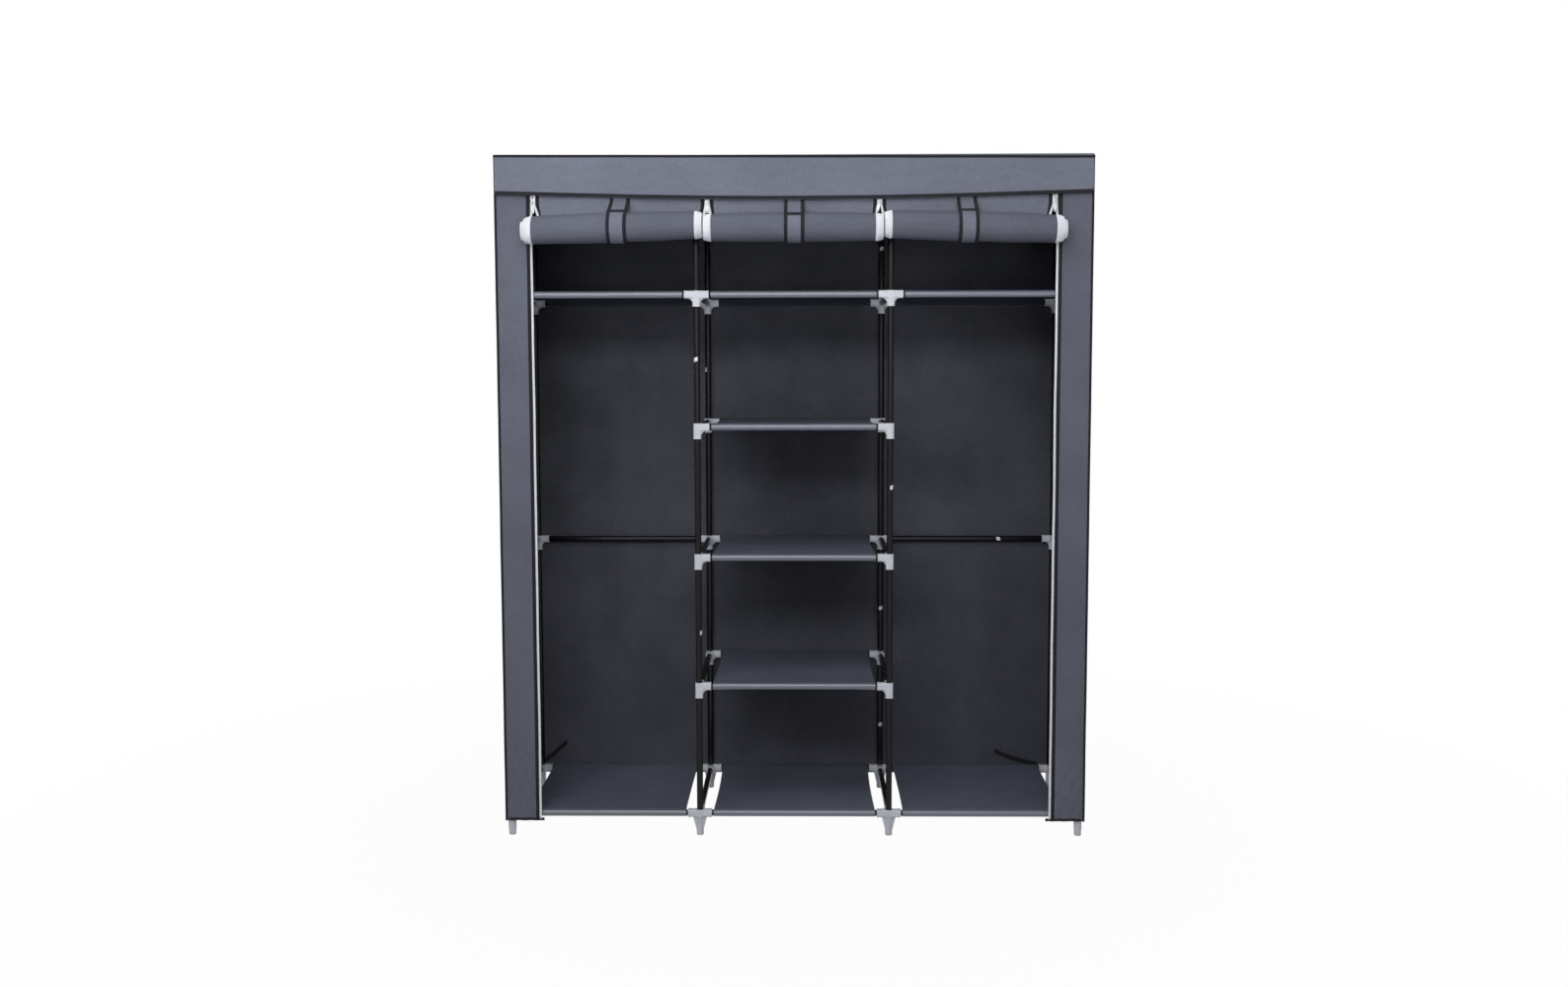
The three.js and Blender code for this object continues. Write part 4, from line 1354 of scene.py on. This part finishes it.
class WARDROBE_OT_roof(bpy.types.Operator):
    """The roof, and the valance with its bound edge"""

    bl_idname = "wardrobe.roof"
    bl_label = "Roof and valance"

    def execute(self, context):
        sizes = context.scene.wardrobe_sizes
        wide = 2 * SIDE_X - CLOTH
        deep = BACK_PANEL_Y - VALANCE_SEAM_Y

        def roof_place(u, v):
            x, y = wide * (u - 1 / 2), VALANCE_SEAM_Y + deep * v ** ROOF_CROWD
            return Vector((x, y, ROOF_Z - max(roof_sag(x, y, sizes), roof_fall(x, y))))

        roof = cloth("cover_roof_cloth", 150, ROOF_ROWS, roof_place, CLOTH, -1, 1)
        # The inner face takes the cloth darkened as painted shade.
        sew(roof, "cloth", "shaded_inside")
        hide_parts("cover_roof")

        def valance_place(u, v):
            return valance_point(wide * (u - 1 / 2), v)

        valance = cloth("valance_cloth", 170, 16, valance_place, CLOTH, 0, 1)
        sew(valance, "cloth", "cloth")
        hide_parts("cover_roof")
        steps = 170
        xs = [wide * (k / steps - 1 / 2) for k in range(steps + 1)]
        share = VALANCE_BINDING / 2 / VALANCE_DROP
        path = [valance_point(x, share) for x in xs]
        ups = [(valance_point(x, share * 2) - valance_point(x, 0)).normalized() for x in xs]
        binding = ribbon("valance_binding", path, ups, (0, -1, 0.08), VALANCE_BINDING, BINDING_THICKNESS)
        sew(binding, "binding")
        for k, at in enumerate(BINDING_SEAMS):
            rows = [valance_point(x, 2 * share * at) - Vector((0, BINDING_THICKNESS / 2, 0)) for x in xs]
            stitches(f"valance_stitches_{k + 1}", rows, (0, -1, 0))
        self.edges()
        return {"FINISHED"}

    def edges(self):
        steps = 120
        front = []
        for k in range(steps + 1):
            x = SIDE_X * (2 * k / steps - 1)
            dip = EDGE_WAVE * noise.noise(Vector((x * 4, 9, 0)))
            front.append((x, VALANCE_SEAM_Y - PIPING_RADIUS / 3, edge_z(x) - dip))
        back = [(point[0], BACK_PANEL_Y, ROOF_Z - PIPING_RADIUS) for point in front]
        paths = {"front": front, "back": back}
        for side, name in SIDES:
            x = side * SIDE_X
            ys = [VALANCE_SEAM_Y + (BACK_PANEL_Y - VALANCE_SEAM_Y) * k / 40 for k in range(41)]
            paths[name] = [(x, y, ROOF_Z - PIPING_RADIUS - roof_fall(x, y)) for y in ys]
        cords = [cord(f"piping_roof_{name}", path, PIPING_RADIUS) for name, path in paths.items()]
        return [sew(piece, "binding") for piece in cords]


def roll_radius(turns):
    """The spiral's radius after so many turns inwards. The outer turns lie closest together."""
    return ROLL_RADIUS * (1 - (turns / (ROLL_TURNS + 1 / 2)) ** ROLL_WIND) - CLOTH / 2


def ring_share(turns, rings):
    """How far a turn's edge stands back: level along each turn, stepping behind the roll."""
    whole = int(turns + 1 / 2)
    here = rings[min(whole, len(rings) - 1)]
    before = rings[min(max(whole - 1, 0), len(rings) - 1)]
    step = clamp((turns - whole) / RING_JOIN + 1 / 2)
    return before + (here - before) * step * step * (3 - 2 * step)


def roll_point(bay, share, turns, seed):
    """A point of a rolled door: share runs across it, and turns counts inwards from the back."""
    low, high = ROLL_X[bay]
    back = [RING_WIDTH + (tip - RING_WIDTH) * ring_share(turns, rings) for tip, rings in ROLL_ENDS[bay]]
    x0, x1 = low + back[0], high - back[1]
    x = x0 + (x1 - x0) * share
    middle_x = (low + high) / 2
    off = (x - middle_x) / ((high - low) / 2)
    angle = turns * 2 * math.pi
    radius = roll_radius(turns) * (1 - ROLL_SLIM * off * off)
    rise = {"left": off, "centre": 0, "right": -off}[bay] * SIDE_ROLL_RISE
    y = ROLL_Y + radius * math.cos(angle)
    z = ROLL_Z + rise - radius * math.sin(angle)
    folds = noise.noise(Vector((x * 8 + angle * 0.5, y * 30, z * 30 + seed)))
    folds += math.sin(x * 41 + angle * 2.0 + seed) * 0.4 * (1 - abs(off))
    sway = TWIST * folds * min(1, turns * 4)
    return Vector((x, y + sway * math.cos(angle), z - sway * math.sin(angle)))


# The flat cloth above a roll: how far its zips, the strap and the roof's seam hold it, and its folds.
FLAP_EDGE = 0.03
STRAP_PRESS = 0.035
FLAP_SEAM = 0.05
FLAP_PROUD = 0.0022
FLAP_WAVE = 0.003
FLAP_SLANT = 0.0012


class WARDROBE_OT_doors(bpy.types.Operator):
    """The three roll-up doors: flat cloth under the roof, the roll and the zip halves wound with it"""

    bl_idname = "wardrobe.doors"
    bl_label = "Rolled doors"

    def execute(self, context):
        for seed, bay in enumerate(BAYS):
            self.flap(bay, seed)
            self.roll(bay, seed)
        return {"FINISHED"}

    def bend(self, piece, bay):
        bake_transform(piece)

    def spread(self, z):
        """How far the open zip has parted at a height, as a share."""
        return clamp((HEAD_Z - HEAD_HALF - z) / SPREAD_HEIGHT)

    def flap_y(self, x, z, low, high, seed, strap_x):
        """How the flat cloth hangs: held at its zips and pressed back by the strap."""
        edge = min(1, (x - low) / FLAP_EDGE, (high - x) / FLAP_EDGE)
        held = min(1, abs(x - strap_x) / STRAP_PRESS)
        loose = max(edge, 0) * (0.25 + 0.75 * held) * min(1, (PANEL_TOP - z) / FLAP_SEAM)
        wave = ripple(x, 0, z, 31 + seed * 5, 2.2)
        slant = math.sin((x - strap_x) * 24 + (z - ROLL_Z) * 30) * FLAP_SLANT
        return PANEL_Y - loose * (FLAP_PROUD + FLAP_WAVE * wave + slant)

    def flap(self, bay, seed):
        low, high = FLAP_X[bay]
        strap_x = STRAP_X[bay]
        inset = CHAIN_WIDTH + TAPE_WIDTH * TAPE_SHOWN
        extra = [OUTER_SPREAD if name == bay else INNER_SPREAD for name in ("left", "right")]

        def place(u, v):
            z = ROLL_Z + (cover_top(low + (high - low) * u, PANEL_Y) - ROLL_Z) * v
            x0 = low + inset + extra[0] * self.spread(z) / 2
            x1 = high - inset - extra[1] * self.spread(z) / 2
            x = x0 + (x1 - x0) * u
            return Vector((x, self.flap_y(x, z, x0, x1, seed, strap_x), z))

        piece = cloth(f"door_flap_{bay}_cloth", 60, 40, place, CLOTH, 0, 1)
        # The inner face takes the cloth darkened as painted shade.
        sew(piece, "cloth", "shaded_inside", body=None)
        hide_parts(f"door_flap_{bay}")
        going = []
        for x, side, name, most in ((low, 1, "left", extra[0]), (high, -1, "right", extra[1])):
            top = cover_top(x, PANEL_Y) - PANEL_TUCK
            heights = [ROLL_Z + (top - ROLL_Z) * k / 40 for k in range(41)]
            spread = [most * self.spread(z) for z in heights]
            teeth = [(x + side * (s + CHAIN_WIDTH / 2), PANEL_Y, z) for z, s in zip(heights, spread)]
            tape_x = x + side * (CHAIN_WIDTH + TAPE_WIDTH / 2)
            woven = [(tape_x + side * s, PANEL_Y, z) for z, s in zip(heights, spread)]
            facing = ((1, 0, 0), (0, -1, 0))
            tape = ribbon(f"door_tape_{bay}_{name}", woven, *facing, TAPE_WIDTH + TAPE_LAP, TAPE_THICKNESS)
            sew(tape, "binding", body=None)
            links = chain(f"door_chain_{bay}_{name}", teeth, *facing, None)
            core = ribbon(f"door_chain_core_{bay}_{name}", teeth, *facing, CORE_WIDTH, CORE_THICKNESS)
            sew(core, "zip", body=None)
            going += [tape, links, core]
        for part in going + [piece]:
            self.bend(part, bay)

    def roll(self, bay, seed):
        steps = ROLL_TURNS * ROLL_STEPS

        def place(u, v):
            return roll_point(bay, u, v * ROLL_TURNS, seed * 3.7)

        piece = cloth(f"door_roll_{bay}_cloth", 30, steps, place, CLOTH, 0, 1)
        # The roll takes the cloth darkened as painted shade, on both faces.
        sew(piece, "door", "door", body=f"door_{bay}")
        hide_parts(f"door_roll_{bay}")
        going = []
        for share, side, name in ((0, -1, "left"), (1, 1, "right")):
            path, outs = [], []
            for k in range(steps + 1):
                turns = k / ROLL_STEPS
                point = roll_point(bay, share, turns, seed * 3.7)
                point.x += side * RING_WIDTH / 2
                path.append(point)
                angle = turns * 2 * math.pi
                outs.append((0, math.cos(angle), -math.sin(angle)))
            links = chain(f"roll_chain_{bay}_{name}", path, (1, 0, 0), outs, f"door_{bay}", RING_WIDTH)
            going.append(links)
        for part in [piece] + going:
            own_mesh(part)


def strap_line():
    """The strap from the side: from its seam behind the valance, over the roll, under it and up behind."""
    radius = ROLL_RADIUS + STRAP_CLEAR
    y0 = PANEL_Y - STRAP_FRONT
    bend = Vector((y0, STRAP_SEAM_Z - STRAP_HANG))
    line = [Vector((y0, STRAP_SEAM_Z))]
    line += [Vector((y0, STRAP_SEAM_Z - STRAP_HANG * k / 4)) for k in range(1, 5)]
    away = bend - Vector((ROLL_Y, ROLL_Z))
    lean = math.atan2(away.x, away.y)
    start = math.acos(radius / away.length) - lean
    rim = Vector((ROLL_Y - radius * math.sin(start), ROLL_Z + radius * math.cos(start)))
    line += [bend.lerp(rim, k / 5) for k in range(1, 5)]
    for k in range(STRAP_STEPS + 1):
        angle = start + (STRAP_END - start) * k / STRAP_STEPS
        line.append(Vector((ROLL_Y - radius * math.sin(angle), ROLL_Z + radius * math.cos(angle))))
    return line


class WARDROBE_OT_straps(bpy.types.Operator):
    """The straps that hold the rolls up, each with bound edges and a bar across its upper tab"""

    bl_idname = "wardrobe.straps"
    bl_label = "Straps"

    def execute(self, context):
        line = strap_line()
        normals = []
        for k in range(len(line)):
            along = heading(line, k)
            normals.append(Vector((0, along.y, -along.x)))
        if normals[0].y > 0:
            normals = [-n for n in normals]
        for bay in BAYS:
            x = STRAP_X[bay] + STRAP_SHIFT[bay]
            lean = TAB_LEAN[bay]
            tab = [clamp((p.y - TAB_LOW) / (STRAP_SEAM_Z - TAB_LOW)) for p in line]
            path = [Vector((x + lean * up, p.x, p.y)) for p, up in zip(line, tab)]
            band = ribbon(f"strap_{bay}", path, (1, 0, 0), normals, STRAP_WIDTH, STRAP_THICKNESS)
            sew(band, "cloth")
            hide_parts(f"door_strap_{bay}")
            going = []
            for side, name in SIDES:
                offset = Vector((side * (STRAP_WIDTH - STRAP_BINDING) / 2, 0, 0))
                edge = [p + offset for p in path]
                title = f"strap_binding_{bay}_{name}"
                bound = ribbon(title, edge, (1, 0, 0), normals, STRAP_BINDING, BINDING_THICKNESS)
                going.append(sew(bound, "binding"))
            front = len(line) // 3
            near = min(range(front), key=lambda k: abs(line[k].y - BAR_Z[bay]))
            standing = path[near] + normals[near] * BAR_PROUD
            half = Vector((STRAP_WIDTH / 2 + SOFT_EDGE, 0, 0))
            bar_path = [standing - half, standing, standing + half]
            along = normals[near].cross(Vector((1, 0, 0)))
            bar = ribbon(f"strap_bar_{bay}", bar_path, along, normals[near], BAR_WIDTH, BINDING_THICKNESS)
            going.append(sew(bar, "binding"))
            for part in [band] + going:
                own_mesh(part)
            flat = (STRAP_WIDTH, length_of(path))
        return {"FINISHED"}


class WARDROBE_OT_zip_heads(bpy.types.Operator):
    """The metal zip heads and their pulls"""

    bl_idname = "wardrobe.zip_heads"
    bl_label = "Zip heads"

    def execute(self, context):
        for column in COLUMNS:
            for kind in ("head", "pull"):
                node_name = f"zip_{kind}_{column}"
                piece = copy_of(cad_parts[node_name], f"{node_name}_polished", Matrix())
                mesh = edit(piece, "VERT")
                select(mesh, mesh.verts)
                bpy.ops.mesh.remove_doubles(threshold=SAME_POINT)
                leave_edit(piece)
                soften(piece, METAL_EDGE, 2, 30)
                smooth(piece, 40)
                dress(piece, f"{kind}_{column}", "zip_metal", finishes()["metal"])
                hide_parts(node_name)
        return {"FINISHED"}


METAL_EDGE = 0.0003
TIE_WIDTH = 0.01
TIE_THICKNESS = 0.001
TIE_FRONT = 0.005


class WARDROBE_OT_ties(bpy.types.Operator):
    """The two thin tapes that tie the back of the cover to the frame"""

    bl_idname = "wardrobe.ties"
    bl_label = "Ties"

    def execute(self, context):
        ties = {
            "left": [(-0.7385, 0.070), (-0.722, 0.083), (-0.702, 0.098), (-0.683, 0.116), (-0.665, 0.132)],
            "right": [(0.578, 0.109), (0.602, 0.097), (0.634, 0.085), (0.668, 0.076), (0.700, 0.069)],
        }
        for name, places in ties.items():
            points = [Vector((x, BACK_PANEL_Y - TIE_FRONT, z)) for x, z in places]
            path = []
            for a, b in zip(points, points[1:]):
                path += [a.lerp(b, k / 5) for k in range(5)]
            path.append(points[-1])
            sides = []
            for k in range(len(path)):
                sides.append(heading(path, k).cross(Vector((0, -1, 0))))
            tie = ribbon(f"tie_{name}", path, sides, (0, -1, 0), TIE_WIDTH, TIE_THICKNESS)
            sew(tie, "binding")
            length_of(path)
        return {"FINISHED"}


# The photograph's camera.
LENS = 32.15
CAMERA = Vector((0.0234, PANEL_Y - 3.5538, 1.1905))
TILT = math.radians(4.764)
TURN = math.radians(-0.779)
ROLL = 0.00212
AMBIENT = 0.38
FLOOR_HALF = 9.0


def white_for_camera(tree, lit, white=1.0, share=1.0):
    """Mixes a shader with plain white where the camera, a reflection or a clear piece looks at it."""
    path = node(tree, "ShaderNodeLightPath")
    seen = maths(tree, "MAXIMUM", path.outputs["Is Camera Ray"], path.outputs["Is Glossy Ray"])
    seen = maths(tree, "MAXIMUM", seen, path.outputs["Is Transmission Ray"])
    factor = maths(tree, "MULTIPLY", seen, share)
    glow = node(tree, "ShaderNodeEmission", {"Color": (white, white, white, 1), "Strength": 1.0})
    return node(tree, "ShaderNodeMixShader", {0: factor, 1: lit, 2: glow.outputs[0]}).outputs[0]


class WARDROBE_OT_stage(bpy.types.Operator):
    """A pale floor that fades into a white background, soft lights and the camera"""

    bl_idname = "wardrobe.stage"
    bl_label = "Stage"

    def execute(self, context):
        self.floor()
        self.lights(context)
        self.camera(context)
        context.scene.view_settings.view_transform = "Standard"
        return {"FINISHED"}

    def floor(self):
        bpy.ops.mesh.primitive_plane_add(size=2 * FLOOR_HALF)
        floor = bpy.context.object
        floor.name = "studio_floor"
        material = bpy.data.materials.new("studio_white")
        material.use_nodes = True
        tree = material.node_tree
        tree.nodes.remove(tree.nodes["Principled BSDF"])
        soft = node(tree, "ShaderNodeBsdfDiffuse", {"Color": (0.5, 0.5, 0.51, 1)})
        place = node(tree, "ShaderNodeTexCoord").outputs["Object"]
        away = node(tree, "ShaderNodeVectorMath", {0: place}, operation="LENGTH").outputs["Value"]
        result = white_for_camera(tree, soft.outputs[0], 1.0, ramp(tree, away, 1.0, 2.4, 0.97, 1.0))
        tree.links.new(result, tree.nodes["Material Output"].inputs["Surface"])
        floor.data.materials.append(material)

    def lights(self, context):
        world = bpy.data.worlds.new("studio")
        context.scene.world = world
        world.use_nodes = True
        tree = world.node_tree
        ambient = node(tree, "ShaderNodeBackground", {"Color": (1, 1, 1, 1), "Strength": AMBIENT})
        result = white_for_camera(tree, ambient.outputs[0])
        tree.links.new(result, tree.nodes["World Output"].inputs["Surface"])
        for name, place, aim_z, wide, tall, watts, spread in (
            ("key_light", (-0.6, -2.9, 2.15), 1.1, 3.0, 0.5, 33, 180),
            ("top_light", (-0.35, -2.0, 3.1), 1.1, 1.8, 0.9, 18, 180),
            ("rear_light", (0.5, 3.0, 2.3), 1.0, 2.0, 0.8, 14, 180),
            ("fill_light", (0.0, -2.9, 1.2), 1.74, 3.0, 0.3, 1.5, 40),
        ):
            lamp = bpy.data.lights.new(name, "AREA")
            lamp.energy = watts
            lamp.shape = "RECTANGLE"
            lamp.size = wide
            lamp.size_y = tall
            lamp.spread = math.radians(spread)
            holder = bpy.data.objects.new(name, lamp)
            holder.location = place
            aim = Vector((0, 0, aim_z)) - Vector(place)
            holder.rotation_euler = aim.to_track_quat("-Z", "Y").to_euler()
            context.collection.objects.link(holder)

    def camera(self, context):
        forward = Vector((math.sin(TURN) * math.cos(TILT), math.cos(TURN) * math.cos(TILT), -math.sin(TILT)))
        right = Vector((math.cos(TURN), -math.sin(TURN), 0))
        up = right.cross(forward)
        right, up = right * math.cos(ROLL) - up * math.sin(ROLL), up * math.cos(ROLL) + right * math.sin(ROLL)
        data = bpy.data.cameras.new("camera")
        data.lens = LENS
        data.sensor_width = 36
        data.sensor_fit = "HORIZONTAL"
        camera = bpy.data.objects.new("camera", data)
        matrix = Matrix((right, up, -forward)).transposed().to_4x4()
        matrix.translation = CAMERA
        camera.matrix_world = matrix
        context.collection.objects.link(camera)
        context.scene.camera = camera


class WARDROBE_PT_panel(bpy.types.Panel):
    """Every step of the wardrobe, with its sizes and colours"""

    bl_label = "Portable Fabric Wardrobe"
    bl_space_type = "VIEW_3D"
    bl_region_type = "UI"
    bl_category = "Wardrobe"

    def draw(self, context):
        layout = self.layout
        for group in (context.scene.wardrobe_sizes, context.scene.wardrobe_colours):
            for name in group.__annotations__:
                layout.prop(group, name)
        for step in STEPS:
            layout.operator(step.bl_idname)


STEPS = [
    WARDROBE_OT_stage,
    WARDROBE_OT_connectors,
    WARDROBE_OT_tubes,
    WARDROBE_OT_labels,
    WARDROBE_OT_shelves,
    WARDROBE_OT_side_covers,
    WARDROBE_OT_back_cover,
    WARDROBE_OT_roof,
    WARDROBE_OT_doors,
    WARDROBE_OT_straps,
    WARDROBE_OT_zip_heads,
    WARDROBE_OT_ties,
]
CLASSES = [WardrobeSizes, WardrobeColours] + STEPS + [WARDROBE_PT_panel]


def register():
    for item in CLASSES:
        bpy.utils.register_class(item)
    bpy.types.Scene.wardrobe_sizes = PointerProperty(type=WardrobeSizes)
    bpy.types.Scene.wardrobe_colours = PointerProperty(type=WardrobeColours)


def unregister():
    del bpy.types.Scene.wardrobe_colours
    del bpy.types.Scene.wardrobe_sizes
    for item in reversed(CLASSES):
        bpy.utils.unregister_class(item)


def main():
    register()
    deselect()
    for step in STEPS:
        family, name = step.bl_idname.split(".")
        getattr(getattr(bpy.ops, family), name)()


if __name__ == "__main__":
    main()
